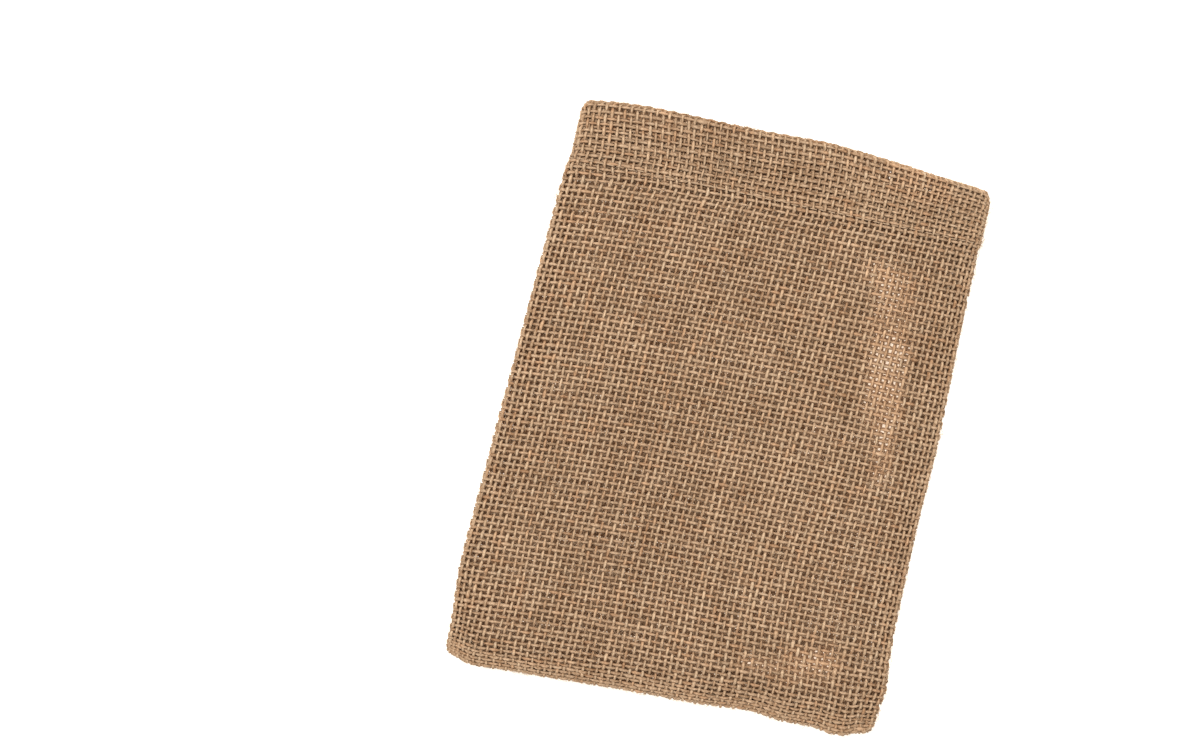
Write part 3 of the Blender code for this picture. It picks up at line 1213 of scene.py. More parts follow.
@dataclass
class YarnSet:
    """All warps or all wefts of one panel, as one piece.

    The height over the crossings changes by rise_wave, and all of it by lift_wave; within fold_band of the
    fold the yarns are pressed flatter by fold_press. Slubs are thick and thin stretches, held to slub_limits,
    and lumps the rare thickest ones. The shades that follow are numbers on the mesh, which the finish reads:
    tone for pale or deep, with painted light and shade in it: paler crowns over the crossings and deeper
    stretches under them, painted shade on a yarn's sides, and a painted glow where light passes; warmth for
    rust or grey, and for the painted warm tint of passing light; and side for the place across a yarn, where
    the finish paints a highlight line.
    """

    weave: Weave
    direction: Direction
    seed: int
    sides: int = 6
    twist_per_ring: float = -0.55
    roughness: float = 0.06
    end_size: float = 0.6
    rise_wave: Wave = Wave(1.0, 0.12)
    lift_wave: Wave = Wave(5.0, 0.05)
    fold_press: float = 0.55
    fold_band: float = 1.3
    slub_waves: tuple[Wave, Wave] = (Wave(4.0, 0.09), Wave(1.3, 0.054))
    slub_limits: tuple[float, float] = (-0.1, 0.3)
    lump_wave: Wave = Wave(2.5, 1.0)
    lump_start: float = 2.2
    lump_share: float = 0.5
    own_limit: float = 2.0
    own_tone: float = 0.35
    tone_waves: tuple[Wave, Wave] = (Wave(7.0, 0.5), Wave(0.8, 1.1))
    # painted light and shade: how much paler a yarn is over a crossing and deeper under one
    painted_crossing_shade: float = 0.75
    tone_limits: tuple[float, float] = (-2.5, 3.0)
    own_warmth: float = 0.15
    warmth_wave: Wave = Wave(1.2, 0.9)
    warmth_limit: float = 2.5
    # painted warm tint of the light that passes through the clearings
    painted_lit_warmth: float = 1.5
    # painted shade on a yarn's sides: its strength, and the level above which the top is paler
    painted_flank_shade: float = 1.3
    painted_flank_level: float = 0.6
    # painted light where light passes: how much paler the front's yarns and the back's inner side become
    front_painted_glow: float = 1.1
    back_painted_glow: float = 9.0

    @property
    def name(self) -> str:
        """The piece's name."""
        return f"{self.weave.face.value}_{self.direction.value}"

    def build(self) -> bpy.types.Object:
        """Lays the yarns straight, then drapes and weaves them.

        Returns:
            The piece.
        """
        rng = np.random.default_rng(self.seed)
        u, v, over = self.weave.path(self.direction)
        yarns, rings = u.shape
        path = self.woven(rng, u, v, over)
        piece = straight_yarns(self.name, yarns, rings, self.sides)
        places = loom_places(piece)
        lay(piece, places, path, self.roughness, self.seed)
        add_maps(piece, places, rings, yarns, self.weave.pitch / 2)
        self.shade(piece, places, path.twist, rng, over)
        return piece

    def woven(self, rng: np.random.Generator, u: np.ndarray, v: np.ndarray, over: np.ndarray) -> YarnPath:
        """Works out the yarns' paths, thickness and twist.

        Args:
            rng: the source of the random values.
            u: shares of the width, by yarn and ring.
            v: lengths, by yarn and ring.
            over: 1 or -1 for over and under, by yarn and ring.

        Returns:
            The yarns in space.
        """
        yarns, rings = u.shape
        size = YARN_SIZES[self.weave.face, self.direction]
        middle, normal = self.weave.drape.at(u, v)
        rise = size.rise * over * (1 + self.rise_wave.along(rng, u.shape))
        rise = rise * (1 - self.fold_press * np.exp(-(((v - self.weave.fold) / self.fold_band) ** 2)))
        rise = rise + self.lift_wave.along(rng, u.shape)
        own = np.clip(rng.standard_normal((yarns, 1)), -self.own_limit, self.own_limit)
        slubs = sum(wave.along(rng, u.shape) for wave in self.slub_waves)
        lumps = np.maximum(self.lump_wave.along(rng, u.shape) - self.lump_start, 0.0) * self.lump_share
        fat = (1 + size.uneven * own) * (1 + np.clip(slubs, *self.slub_limits) + lumps)
        ends = np.ones(rings)
        ends[[0, -1]] = self.end_size
        half_width = size.half_width * fat * ends * (1 + size.bead * over)
        half_height = size.half_height * np.sqrt(fat) * ends
        twist = self.twist_per_ring * np.arange(rings)[None, :] + rng.uniform(0, math.tau, (yarns, 1))
        return YarnPath(middle + normal * rise[..., None], normal, half_width, half_height, twist)

    def shade(
        self,
        piece: bpy.types.Object,
        places: LoomPlaces,
        twist: np.ndarray,
        rng: np.random.Generator,
        over: np.ndarray,
    ) -> None:
        """Gives the yarns the numbers that their finish reads.

        Args:
            piece: the laid yarns.
            places: what each of their points is.
            twist: how far they are turned, by yarn and ring.
            rng: the source of the random values.
            over: 1 or -1 for over and under, by yarn and ring.
        """
        tone = self.own_tone * rng.standard_normal((len(over), 1))
        for wave in self.tone_waves:
            tone = tone + wave.along(rng, over.shape)
        # painted light and shade: paler where a yarn crosses over, deeper where it dives under
        tone = np.clip(tone + self.painted_crossing_shade * over, *self.tone_limits)
        lit = self.weave.lit if self.direction is Direction.WARP else self.weave.lit.T
        lit = np.repeat(lit, 2, axis=1)
        warmth = self.own_warmth * rng.standard_normal((len(over), 1))
        warmth = warmth + self.warmth_wave.along(rng, over.shape)
        # painted light: a warm tint where light passes, added to the yarns' rust and grey
        warmth = warmth * np.abs(warmth) + self.painted_lit_warmth * lit
        at = (places.yarn, places.ring)
        turned = places.angle + twist[at]
        outward = np.sin(turned)
        # painted light where light passes through the layers: front yarns paler, the back's inner side far
        # paler
        if self.weave.face is Face.FRONT:
            glow = self.front_painted_glow * lit[at]
        else:
            glow = self.back_painted_glow * lit[at] * soft_step(0.5 - 1.5 * outward)
        # painted shade: a yarn's sides deeper, its top and underside paler
        painted_flank_shade = self.painted_flank_shade * (np.abs(outward) - self.painted_flank_level)
        add_shades(piece, "tone", tone[at] + painted_flank_shade + glow)
        add_shades(piece, "side", np.cos(turned))
        add_shades(piece, "warmth", np.clip(warmth, -self.warmth_limit, self.warmth_limit)[at])

    def dress(self, piece: bpy.types.Object) -> None:
        """Gives the yarns the finish of their direction."""
        finish_piece(piece, YARN_FINISHES[self.direction])


@dataclass
class Panel:
    """One panel of the pouch: its warps and wefts."""

    weave: Weave
    seed: int

    def build(self) -> dict[Direction, bpy.types.Object]:
        """Makes both sets of yarns.

        Returns:
            The pieces by direction.
        """
        self.sets = {d: YarnSet(self.weave, d, self.seed + k) for k, d in enumerate(Direction)}
        self.pieces = {direction: yarns.build() for direction, yarns in self.sets.items()}
        for piece in self.pieces.values():
            log.info("%s: %d faces", piece.name, len(piece.data.polygons))
        return self.pieces

    def dress(self) -> None:
        """Dresses the yarns."""
        for direction, yarns in self.sets.items():
            yarns.dress(self.pieces[direction])

    def declare(self, sewn: list[bpy.types.Object], rests_on: str) -> None:
        """Hides the panel's CAD node, which the panel stands for.

        Args:
            sewn: the thread on this panel; not used.
            rests_on: what it lies on; not used.
        """
        node = f"{self.weave.face.value}_panel"
        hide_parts(node)
        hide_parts(node)


@dataclass(frozen=True)
class Strand:
    """How thread or loose fibres are made: points round, roughness, and the step of their map."""

    sides: int
    rough: float
    step: float

    def build(self, name: str, path: YarnPath, tone: np.ndarray, seed: int) -> bpy.types.Object:
        """Lays strands along their paths.

        Args:
            name: the piece's name.
            path: where the strands go.
            tone: how pale each strand is.
            seed: what the random values start from.

        Returns:
            The piece.
        """
        count, rings = path.middle.shape[:2]
        piece = straight_yarns(name, count, rings, self.sides)
        places = loom_places(piece)
        lay(piece, places, path, self.rough, seed)
        add_maps(piece, places, rings, count, self.step)
        turned = places.angle + path.twist[places.yarn, places.ring]
        add_shades(piece, "tone", tone[places.yarn])
        add_shades(piece, "warmth", np.zeros(len(places.yarn)))
        add_shades(piece, "side", np.cos(turned))
        return piece


FIBRE = Strand(3, 0.0, 0.6)
SEWN = Strand(5, 0.04, 0.4)
SEWN_END = 0.55
SEWN_TWIST = 0.9


def thread(name: str, middle: np.ndarray, up: np.ndarray, radius: float, seed: int) -> bpy.types.Object:
    """Sewing thread along given paths, thinner at its ends.

    Args:
        name: the piece's name.
        middle: the paths, by thread and ring.
        up: a way up at each ring.
        radius: the thread's radius.
        seed: what the random values start from.

    Returns:
        The piece.
    """
    shape = middle.shape[:2]
    size = np.full(shape, radius)
    size[:, [0, -1]] *= SEWN_END
    twist = np.broadcast_to(SEWN_TWIST * np.arange(shape[1]), shape)
    tone = np.random.default_rng(seed).standard_normal(shape[0])
    return SEWN.build(name, YarnPath(middle, up, size, size, twist), tone, seed)


@dataclass
class HemStitches:
    """The running stitches that hold one panel's hem.

    first is where the first one starts, in spacings. A stitch stands base and arch high over the cloth, and
    its ends are sunk into it. unevenness is how far stitches stray along and across their line. near is a
    length from which the hem's line is sought.
    """

    weave: Weave
    seed: int
    length: float = 2.7
    spacing: float = 3.3
    first: float = 0.6
    thickness: float = 0.21
    rings: int = 9
    base: float = 0.55
    arch: float = 0.38
    sunk: float = 0.9
    unevenness: tuple[float, float] = (0.12, 0.1)
    near: float = 180.0

    def build(self) -> bpy.types.Object:
        """Lays each stitch over the cloth, its ends sunk into it.

        Returns:
            The piece.
        """
        drape = self.weave.drape
        rng = np.random.default_rng(self.seed)
        count = int(drape.mean_width / self.spacing) - 1
        stray_along, stray_across = self.unevenness
        start = (np.arange(count) + self.first) * self.spacing + rng.normal(0, stray_along, count)
        share = np.linspace(0.0, 1.0, self.rings)
        u = (start[:, None] + self.length * share[None, :]) / drape.mean_width
        v = np.full_like(u, self.near)
        for _ in range(SEEK_ROUNDS):
            place, _ = drape.at(u, v)
            v = v + self.weave.form.hem_line(place[..., 0]) - place[..., 1]
        v = v + rng.normal(0, stray_across, (count, 1))
        place, normal = drape.at(u, v)
        height = self.base + self.arch * np.sin(math.pi * share) ** 0.5
        height[[0, -1]] -= self.sunk
        middle = place + normal * height[None, :, None]
        name = f"{self.weave.face.value}_hem_stitches"
        self.piece = thread(name, middle, normal, self.thickness, self.seed)
        return self.piece

    def dress(self) -> None:
        """Gives the stitches their thread's finish."""
        finish_piece(self.piece, THREAD)


@dataclass
class SeamThread:
    """The thread that joins the two panels inside their sides and bottom.

    sides and bottom are where the runs along the sides and the bottom start and end. depth is how far inside
    the cloth's edge the thread lies, swing how far it goes up and down, and period the length of a stitch.
    """

    form: PouchForm
    seed: int
    sides: tuple[float, float] = (96.0, -95.0)
    bottom: tuple[float, float] = (-69.0, 68.0)
    step: float = 0.55
    period: float = 3.4
    depth: float = 0.9
    swing: float = 0.55
    thickness: float = 0.2

    def build(self) -> bpy.types.Object:
        """Runs the thread down the left side, along the bottom and up the right side.

        Returns:
            The piece.
        """
        form = self.form
        y = np.arange(*self.sides, -self.step)
        left = np.stack([form.left(y) + self.depth, y], axis=1)
        right = np.stack([form.right(y) - self.depth, y], axis=1)[::-1]
        x = np.arange(*self.bottom, self.step)
        bottom = np.stack([x, form.bottom(x) + self.depth], axis=1)
        line = np.concatenate([left, bottom, right])
        gone = np.concatenate([[0.0], np.cumsum(np.linalg.norm(np.diff(line, axis=0), axis=1))])
        even = np.arange(0.0, gone[-1], self.step)
        x = np.interp(even, gone, line[:, 0])
        y = np.interp(even, gone, line[:, 1])
        seam = REST_HEIGHT + form.roll(x, y) + EDGE_TURN + TUCK_HEIGHT
        z = seam + self.swing * np.sin(math.tau * even / self.period)
        middle = np.stack([x, y, z], axis=1)[None]
        ups = np.broadcast_to(np.array([0.0, 0.0, 1.0]), middle.shape)
        self.piece = thread("seam_thread", middle, ups, self.thickness, self.seed)
        return self.piece

    def dress(self) -> None:
        """Gives the seam its thread's finish."""
        finish_piece(self.piece, THREAD)


@dataclass
class StrayFibres:
    """Loose fibres that stand off the yarns of a panel.

    A third of them grow at the edges: side_share of those beside the sides, the others at the bottom and the
    mouth. A fibre rises from base in a bow, and curls to one side. Lengths and lifts are spread by a shape
    and a scale, from a least to a greatest value.
    """

    weave: Weave
    seed: int
    count: int
    rings: int = 6
    thickness: float = 0.045
    thicknesses: tuple[float, float] = (0.6, 1.3)
    tip: float = 0.5
    paleness: float = 0.6
    margin: float = 0.012
    edge: float = 0.011
    lowest: float = 2.5
    bottom: float = 2.0
    side_share: float = 0.6
    length_spread: tuple[float, float] = (3.0, 1.1)
    lengths: tuple[float, float] = (1.2, 7.0)
    curl: float = 0.35
    lift_spread: tuple[float, float] = (2.0, 0.16)
    lifts: tuple[float, float] = (0.1, 0.9)
    edge_lift: float = 1.8
    base: float = 0.45
    bows: tuple[float, float] = (0.45, 1.0)
    least_height: float = 0.08

    def build(self) -> bpy.types.Object:
        """Grows each fibre out of the cloth in a low bow.

        Returns:
            The piece.
        """
        rng = np.random.default_rng(self.seed)
        each = (self.count, 1)
        outer = self.weave.fold
        u = rng.uniform(self.margin, 1 - self.margin, self.count)
        v = rng.uniform(self.lowest, outer, self.count)
        third = self.count // 3
        beside = rng.random(third) < self.side_share
        u[:third] = np.where(beside, np.where(rng.random(third) < 0.5, self.edge, 1 - self.edge), u[:third])
        v[:third] = np.where(beside, v[:third], np.where(rng.random(third) < 0.5, self.bottom, outer))
        place, normal = self.weave.drape.at(u, v)
        aside = np.cross(normal, rng.standard_normal((self.count, 3)))
        aside /= np.linalg.norm(aside, axis=1, keepdims=True)
        cross = np.cross(normal, aside)
        share = np.linspace(0.0, 1.0, self.rings)[None, :]
        shortest, longest = self.lengths
        length = np.minimum(rng.gamma(*self.length_spread, each) + shortest, longest)
        curl = rng.normal(0, self.curl, each) * length
        lowest, highest = self.lifts
        lift = np.minimum(rng.gamma(*self.lift_spread, each) + lowest, highest)
        lift[:third] *= self.edge_lift
        height = self.base + lift * np.sin(math.pi * share * rng.uniform(*self.bows, each))
        middle = (
            place[:, None, :]
            + aside[:, None, :] * (length * share)[..., None]
            + cross[:, None, :] * (curl * share**2)[..., None]
            + normal[:, None, :] * height[..., None]
        )
        middle[..., 2] = np.maximum(middle[..., 2], self.least_height)
        up = np.broadcast_to(normal[:, None, :], middle.shape)
        taper = np.linspace(1.0, self.tip, self.rings)
        size = self.thickness * (rng.uniform(*self.thicknesses, each) * taper)
        path = YarnPath(middle, up, size, size, np.zeros_like(size))
        tone = rng.standard_normal(self.count) + self.paleness
        self.piece = FIBRE.build(f"{self.weave.face.value}_stray_fibres", path, tone, self.seed)
        return self.piece

    def dress(self) -> None:
        """Gives the fibres their finish."""
        finish_piece(self.piece, FIBRES)


class Colour(NamedTuple):
    """A linear colour."""

    red: float
    green: float
    blue: float

    def rgba(self) -> tuple[float, float, float, float]:
        """The colour with full cover."""
        return (*self, 1.0)


def maths(tree: bpy.types.NodeTree, operation: str, first: object, second: object) -> bpy.types.NodeSocket:
    """Adds a Math node.

    Args:
        tree: the node tree.
        operation: what it does.
        first: a socket or a number.
        second: a socket or a number.

    Returns:
        The socket of its value.
    """
    node = tree.nodes.new("ShaderNodeMath")
    node.operation = operation
    for place, value in enumerate((first, second)):
        if isinstance(value, bpy.types.NodeSocket):
            tree.links.new(value, node.inputs[place])
        else:
            node.inputs[place].default_value = value
    return node.outputs[0]


class Grain(NamedTuple):
    """A noise in the jute's colour: its scales along, round and across the yarn, detail and strength."""

    scale: tuple[float, float, float]
    detail: float
    strength: float


class Spots(NamedTuple):
    """A noise in the jute's colour by place in the cloth: its scale to a metre, detail and strength."""

    scale: float
    detail: float
    strength: float


# Along the yarn in centimetres and round it in turns: fibre streaks, mottling, and painted glints on single
# fibres
STREAKS = Grain((7.0, 16.0, 1.0), 2.0, 1.4)
MOTTLE = Grain((13.0, 4.0, 1.0), 1.0, 1.8)
GLINTS = Grain((4.0, 22.0, 1.0), 1.0, 3.0)
GLINT_START = 0.58

# By place: single fibres, patches of a few yarns, and clouds of many
SPECKS = Spots(2600.0, 1.0, 1.4)
PATCHES = Spots(260.0, 2.0, 0.5)
CLOUDS = Spots(45.0, 1.0, 0.5)

# Painted highlights along each yarn's top and underside: how far they wander, how wide they are, and how
# strong
PAINTED_HIGHLIGHT_WANDER = Grain((5.0, 0.0, 0.0), 0.0, 1.6)
PAINTED_HIGHLIGHT_WIDTH = 0.6
PAINTED_HIGHLIGHT_STRENGTH = 0.35

# How the numbers on the mesh and the noises make a colour: shares of pale over deep, and of rust or grey;
# the rust is also the painted warm tint of passing light
TONE_STRENGTH = 0.15
TONE_LEVEL = 0.47
TONE_LIMITS = (-0.2, 1.8)
WARMTH_STRENGTH = 0.2

# Roughness at no streak and its change over streaks, and the share of specks in the relief
ROUGH = 0.95
ROUGH_CHANGE = -0.18
SPECK_RELIEF = 0.5

GROUP_INPUTS = {
    "NodeSocketVector": ("Place", "Along"),
    "NodeSocketFloat": ("Tone", "Warmth", "Side"),
    "NodeSocketColor": ("Deep", "Pale", "Rust_and_lit_tint", "Grey"),
}
GROUP_OUTPUTS = {"NodeSocketColor": ("Color",), "NodeSocketFloat": ("Roughness", "Height")}


def noise(
    tree: bpy.types.NodeTree, vector: bpy.types.NodeSocket, scale: float, detail: float
) -> bpy.types.NodeSocket:
    """Adds a Noise Texture node.

    Args:
        tree: the shader's nodes.
        vector: where the noise is read.
        scale: its scale.
        detail: its detail.

    Returns:
        The socket of its value.
    """
    node = tree.nodes.new("ShaderNodeTexNoise")
    node.inputs["Scale"].default_value = scale
    node.inputs["Detail"].default_value = detail
    tree.links.new(vector, node.inputs["Vector"])
    return node.outputs["Fac"]


def grained(tree: bpy.types.NodeTree, along: bpy.types.NodeSocket, grain: Grain) -> bpy.types.NodeSocket:
    """Adds a noise that is stretched along the yarn.

    Args:
        tree: the shader's nodes.
        along: the place along the yarn and round it.
        grain: how the noise is stretched, and its detail.

    Returns:
        The socket of its value.
    """
    node = tree.nodes.new("ShaderNodeMapping")
    node.inputs["Scale"].default_value = grain.scale
    tree.links.new(along, node.inputs["Vector"])
    return noise(tree, node.outputs["Vector"], 1.0, grain.detail)


def centred(tree: bpy.types.NodeTree, value: bpy.types.NodeSocket, strength: float) -> bpy.types.NodeSocket:
    """Takes a noise's middle off it and gives it its strength."""
    return maths(tree, "MULTIPLY", maths(tree, "SUBTRACT", value, 0.5), strength)


def mixed(
    tree: bpy.types.NodeTree,
    blend: str,
    held: bool,
    share: bpy.types.NodeSocket,
    first: bpy.types.NodeSocket,
    second: bpy.types.NodeSocket,
) -> bpy.types.NodeSocket:
    """Adds a Mix node for colours.

    Args:
        tree: the node tree.
        blend: how the second colour is laid over the first.
        held: whether the share is held between 0 and 1.
        share: the second colour's share.
        first: the first colour.
        second: the second colour.

    Returns:
        The socket of the colour.
    """
    mix = tree.nodes.new("ShaderNodeMix")
    mix.data_type = "RGBA"
    mix.blend_type = blend
    mix.clamp_factor = held
    for name, value in (("Factor", share), ("A", first), ("B", second)):
        tree.links.new(value, mix.inputs[name])
    return mix.outputs["Result"]


def jute_group() -> bpy.types.NodeTree:
    """The shader group of twisted jute: fibres along the yarn, pale and deep stretches, rust and grey ones,
    the rust also as the painted warm tint of passing light, and painted highlights: a line along each yarn's
    top and underside, and glints on single fibres.

    Returns:
        The group, with Color, Roughness and Height.
    """
    found = bpy.data.node_groups.get("twisted_jute")
    if found is not None:
        return found
    tree = bpy.data.node_groups.new("twisted_jute", "ShaderNodeTree")
    for way, sockets in (("INPUT", GROUP_INPUTS), ("OUTPUT", GROUP_OUTPUTS)):
        for kind, names in sockets.items():
            for name in names:
                tree.interface.new_socket(name=name, in_out=way, socket_type=kind)
    given = tree.nodes.new("NodeGroupInput").outputs
    made = tree.nodes.new("NodeGroupOutput").inputs
    streaks = grained(tree, given["Along"], STREAKS)
    specks = noise(tree, given["Place"], SPECKS.scale, SPECKS.detail)
    parts = [centred(tree, streaks, STREAKS.strength), centred(tree, specks, SPECKS.strength)]
    parts.append(centred(tree, grained(tree, given["Along"], MOTTLE), MOTTLE.strength))
    for spots in (PATCHES, CLOUDS):
        parts.append(centred(tree, noise(tree, given["Place"], spots.scale, spots.detail), spots.strength))
    # painted glints: thin bright lines on single fibres
    glints = maths(tree, "SUBTRACT", grained(tree, given["Along"], GLINTS), GLINT_START)
    parts.append(maths(tree, "MULTIPLY", maths(tree, "MAXIMUM", glints, 0.0), GLINTS.strength))
    # painted highlight: a bright line where side is near 0, along each yarn's top and underside
    wander = centred(tree, grained(tree, given["Along"], PAINTED_HIGHLIGHT_WANDER), PAINTED_HIGHLIGHT_WANDER.strength)
    off = maths(tree, "ABSOLUTE", maths(tree, "ADD", given["Side"], wander), 0.0)
    painted_highlight = maths(tree, "SUBTRACT", 1.0, maths(tree, "DIVIDE", off, PAINTED_HIGHLIGHT_WIDTH))
    parts.append(maths(tree, "MULTIPLY", maths(tree, "MAXIMUM", painted_highlight, 0.0), PAINTED_HIGHLIGHT_STRENGTH))
    share = maths(tree, "ADD", maths(tree, "MULTIPLY", given["Tone"], TONE_STRENGTH), TONE_LEVEL)
    for part in parts:
        share = maths(tree, "ADD", share, part)
    least, most = TONE_LIMITS
    share = maths(tree, "MINIMUM", maths(tree, "MAXIMUM", share, least), most)
    colour = mixed(tree, "MIX", False, share, given["Deep"], given["Pale"])
    warm = maths(tree, "MULTIPLY", given["Warmth"], WARMTH_STRENGTH)
    for name, sign in (("Rust_and_lit_tint", 1.0), ("Grey", -1.0)):
        colour = mixed(tree, "MULTIPLY", True, maths(tree, "MULTIPLY", warm, sign), colour, given[name])
    tree.links.new(colour, made["Color"])
    rough = maths(tree, "ADD", maths(tree, "MULTIPLY", streaks, ROUGH_CHANGE), ROUGH)
    tree.links.new(rough, made["Roughness"])
    relief = maths(tree, "ADD", streaks, maths(tree, "MULTIPLY", specks, SPECK_RELIEF))
    tree.links.new(relief, made["Height"])
    return tree


@dataclass(frozen=True)
class JuteFinish:
    """Undyed jute yarn, matt and a little shiny along its fibres."""

    name: str
    deep: Colour
    pale: Colour
    # rust stretches, and also the painted warm tint of passing light
    rust_and_lit_tint: Colour = Colour(1.0, 0.80, 0.64)
    grey: Colour = Colour(0.88, 0.94, 1.0)
    sheen: float = 0.12
    sheen_roughness: float = 0.6
    sheen_tint: Colour = Colour(0.9, 0.75, 0.55)
    specular: float = 0.35
    bump: float = 0.5
    bump_height: float = 0.0001

    def material(self) -> bpy.types.Material:
        """The finish as a material, made once.

        Returns:
            The material.
        """
        found = bpy.data.materials.get(self.name)
        if found is not None:
            return found
        material = bpy.data.materials.new(self.name)
        material.use_nodes = True
        tree = material.node_tree
        shader = tree.nodes["Principled BSDF"]
        shader.inputs["Metallic"].default_value = 0.0
        shader.inputs["Sheen Weight"].default_value = self.sheen
        shader.inputs["Sheen Roughness"].default_value = self.sheen_roughness
        shader.inputs["Sheen Tint"].default_value = self.sheen_tint.rgba()
        shader.inputs["Specular IOR Level"].default_value = self.specular
        group = tree.nodes.new("ShaderNodeGroup")
        group.node_tree = jute_group()
        for name in ("deep", "pale", "rust_and_lit_tint", "grey"):
            group.inputs[name.capitalize()].default_value = getattr(self, name).rgba()
        place = tree.nodes.new("ShaderNodeTexCoord")
        tree.links.new(place.outputs["Object"], group.inputs["Place"])
        along = tree.nodes.new("ShaderNodeUVMap")
        along.uv_map = "yarn"
        tree.links.new(along.outputs["UV"], group.inputs["Along"])
        for name in ("tone", "warmth", "side"):
            shade = tree.nodes.new("ShaderNodeAttribute")
            shade.attribute_name = name
            tree.links.new(shade.outputs["Fac"], group.inputs[name.capitalize()])
        bump = tree.nodes.new("ShaderNodeBump")
        bump.inputs["Strength"].default_value = self.bump
        bump.inputs["Distance"].default_value = self.bump_height
        tree.links.new(group.outputs["Height"], bump.inputs["Height"])
        tree.links.new(group.outputs["Color"], shader.inputs["Base Color"])
        tree.links.new(group.outputs["Roughness"], shader.inputs["Roughness"])
        tree.links.new(bump.outputs["Normal"], shader.inputs["Normal"])
        return material


YARN_FINISHES = {
    Direction.WARP: JuteFinish("warp_jute", Colour(0.29, 0.155, 0.072), Colour(0.575, 0.387, 0.235)),
    Direction.WEFT: JuteFinish("weft_jute", Colour(0.26, 0.14, 0.065), Colour(0.515, 0.335, 0.20)),
}
THREAD = JuteFinish("sewing_thread", Colour(0.38, 0.25, 0.15), Colour(0.55, 0.38, 0.24))
FIBRES = JuteFinish("loose_fibres", Colour(0.46, 0.31, 0.19), Colour(0.70, 0.52, 0.35))


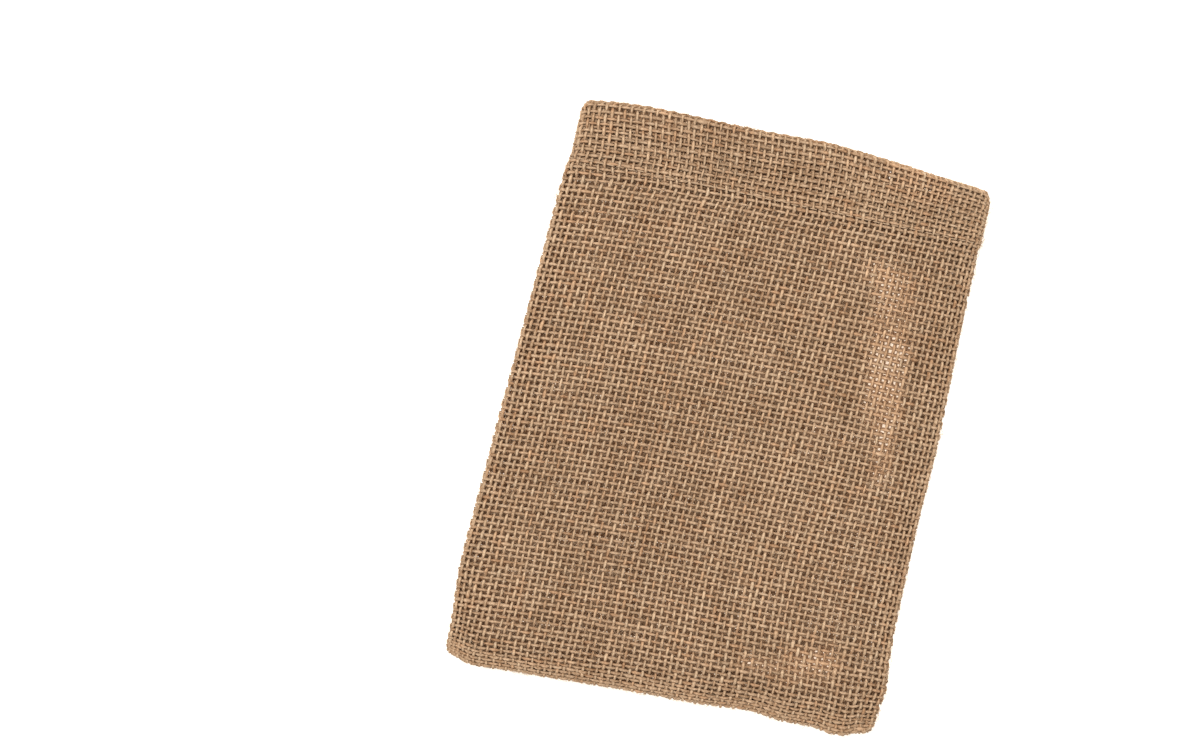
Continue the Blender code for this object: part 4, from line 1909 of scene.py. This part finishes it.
@dataclass(frozen=True)
class Studio:
    """The pale floor, the soft light and the camera, in metres.

    shaded_half is half of the width and length of the floor's painted shadow beneath the pouch, where it
    glows dimmer and warmer, and shaded_edge how sharply it ends.
    """

    floor_size: float = 40.0
    floor_colour: Colour = Colour(0.86, 0.84, 0.80)
    floor_roughness: float = 0.9
    floor_glow: float = 0.8
    glow_colour: Colour = Colour(1.0, 0.93, 0.84)
    shaded_colour: Colour = Colour(0.78, 0.64, 0.48)
    shaded_half: tuple[float, float] = (0.071, 0.0975)
    shaded_edge: float = 20.0
    white: Colour = Colour(1.0, 1.0, 1.0)
    sky: float = 0.53
    lamp_power: float = 34.0
    lamp_size: float = 0.9
    lamp_place: tuple[float, float, float] = (-0.45, 0.60, 1.8)

    def build(self) -> None:
        """Makes the floor, the light and the camera."""
        self.make_floor()
        self.make_light()
        self.make_camera()
        settings = bpy.context.scene.view_settings
        settings.view_transform = "Standard"
        settings.look = "None"

    def make_floor(self) -> None:
        """A wide pale floor that glows, so that it stays white round the pouch, with a painted cream shadow
        beneath it.
        """
        bpy.ops.object.select_all(action="DESELECT")
        bpy.ops.mesh.primitive_plane_add(size=self.floor_size, location=(0.0, 0.0, 0.0))
        floor = bpy.context.object
        floor.name = "floor"
        material = bpy.data.materials.new("pale_floor")
        material.use_nodes = True
        tree = material.node_tree
        shader = tree.nodes["Principled BSDF"]
        shader.inputs["Base Color"].default_value = self.floor_colour.rgba()
        shader.inputs["Roughness"].default_value = self.floor_roughness
        shader.inputs["Specular IOR Level"].default_value = 0.0
        shader.inputs["Emission Strength"].default_value = self.floor_glow
        place = tree.nodes.new("ShaderNodeTexCoord")
        axes = tree.nodes.new("ShaderNodeSeparateXYZ")
        tree.links.new(place.outputs["Object"], axes.inputs["Vector"])
        # painted shadow: beneath the pouch the floor glows dimmer and warmer, in shaded_colour
        away = []
        for axis, half in zip(("X", "Y"), self.shaded_half):
            away.append(maths(tree, "DIVIDE", maths(tree, "ABSOLUTE", axes.outputs[axis], 0.0), half))
        inside = maths(tree, "SUBTRACT", 1.0, maths(tree, "MAXIMUM", *away))
        glow = tree.nodes.new("ShaderNodeMix")
        glow.data_type = "RGBA"
        glow.clamp_factor = True
        tree.links.new(maths(tree, "MULTIPLY", inside, self.shaded_edge), glow.inputs["Factor"])
        glow.inputs["A"].default_value = self.glow_colour.rgba()
        glow.inputs["B"].default_value = self.shaded_colour.rgba()
        tree.links.new(glow.outputs["Result"], shader.inputs["Emission Color"])
        floor.data.materials.append(material)

    def make_light(self) -> None:
        """An even soft sky that shows as white, and one large lamp from the upper left."""
        world = bpy.data.worlds.new("studio")
        world.use_nodes = True
        tree = world.node_tree
        soft = tree.nodes["Background"]
        soft.inputs["Color"].default_value = self.white.rgba()
        soft.inputs["Strength"].default_value = self.sky
        white = tree.nodes.new("ShaderNodeBackground")
        white.inputs["Color"].default_value = self.white.rgba()
        seen = tree.nodes.new("ShaderNodeLightPath")
        mix = tree.nodes.new("ShaderNodeMixShader")
        tree.links.new(seen.outputs["Is Camera Ray"], mix.inputs["Fac"])
        tree.links.new(soft.outputs["Background"], mix.inputs[1])
        tree.links.new(white.outputs["Background"], mix.inputs[2])
        tree.links.new(mix.outputs["Shader"], tree.nodes["World Output"].inputs["Surface"])
        bpy.context.scene.world = world
        data = bpy.data.lights.new("soft_lamp", "AREA")
        data.shape = "DISK"
        data.size = self.lamp_size
        data.energy = self.lamp_power
        lamp = bpy.data.objects.new("soft_lamp", data)
        lamp.location = self.lamp_place
        away = -np.array(self.lamp_place)
        level = math.hypot(away[0], away[1])
        lamp.rotation_euler = (math.atan2(level, -away[2]), 0.0, math.atan2(away[1], away[0]) - math.pi / 2)
        bpy.context.scene.collection.objects.link(lamp)

    def make_camera(self) -> None:
        """A camera straight above, turned so that the pouch leans as it does in the photograph."""
        data = bpy.data.cameras.new("camera")
        data.sensor_width = SENSOR
        data.lens = SENSOR * CAMERA_DISTANCE / CAMERA_WIDTH
        camera = bpy.data.objects.new("camera", data)
        camera.location = (CAMERA_FOOT[0] * MM, CAMERA_FOOT[1] * MM, CAMERA_DISTANCE * MM)
        camera.rotation_euler = (0.0, 0.0, CAMERA_TURN)
        bpy.context.scene.collection.objects.link(camera)
        bpy.context.scene.camera = camera


# What each panel's and the seam's random values start from, and how many loose fibres a panel has
FRONT_SEED = 11
BACK_SEED = 21
SEAM_SEED = 41
FIBRE_COUNTS = {Face.FRONT: 2600, Face.BACK: 700}


def main() -> None:
    """Builds the pouch piece by piece, then its surroundings."""
    logging.basicConfig(level=logging.INFO, format="%(message)s")
    form = PouchForm()
    front = Weave(Face.FRONT, form, form.drape(Face.FRONT), FRONT_SEED)
    back = Weave(Face.BACK, form, form.drape(Face.BACK), BACK_SEED, front)
    log.info("pitch of the warps %.3f mm", front.drape.mean_width / WARPS)
    log.info("pitch of the wefts %.3f mm", front.drape.length / WEFTS)
    panels = {}
    for weave in (back, front):
        panel = Panel(weave, weave.seed + 100)
        stitches = HemStitches(weave, weave.seed + 200)
        fibres = StrayFibres(weave, weave.seed + 300, FIBRE_COUNTS[weave.face])
        for part in (panel, stitches, fibres):
            part.build()
            part.dress()
        log.info("%s panel: woven, sewn and fuzzy", weave.face.value)
        panels[weave.face] = (panel, [stitches.piece, fibres.piece])
    seam = SeamThread(form, SEAM_SEED)
    seam.build()
    seam.dress()
    log.info("seam thread: sewn")
    back_panel, back_sewn = panels[Face.BACK]
    front_panel, front_sewn = panels[Face.FRONT]
    back_panel.declare(back_sewn, "")
    front_panel.declare([*front_sewn, seam.piece], "back_weft")
    Studio().build()
    log.info("studio: ready")


if __name__ == "__main__":
    main()
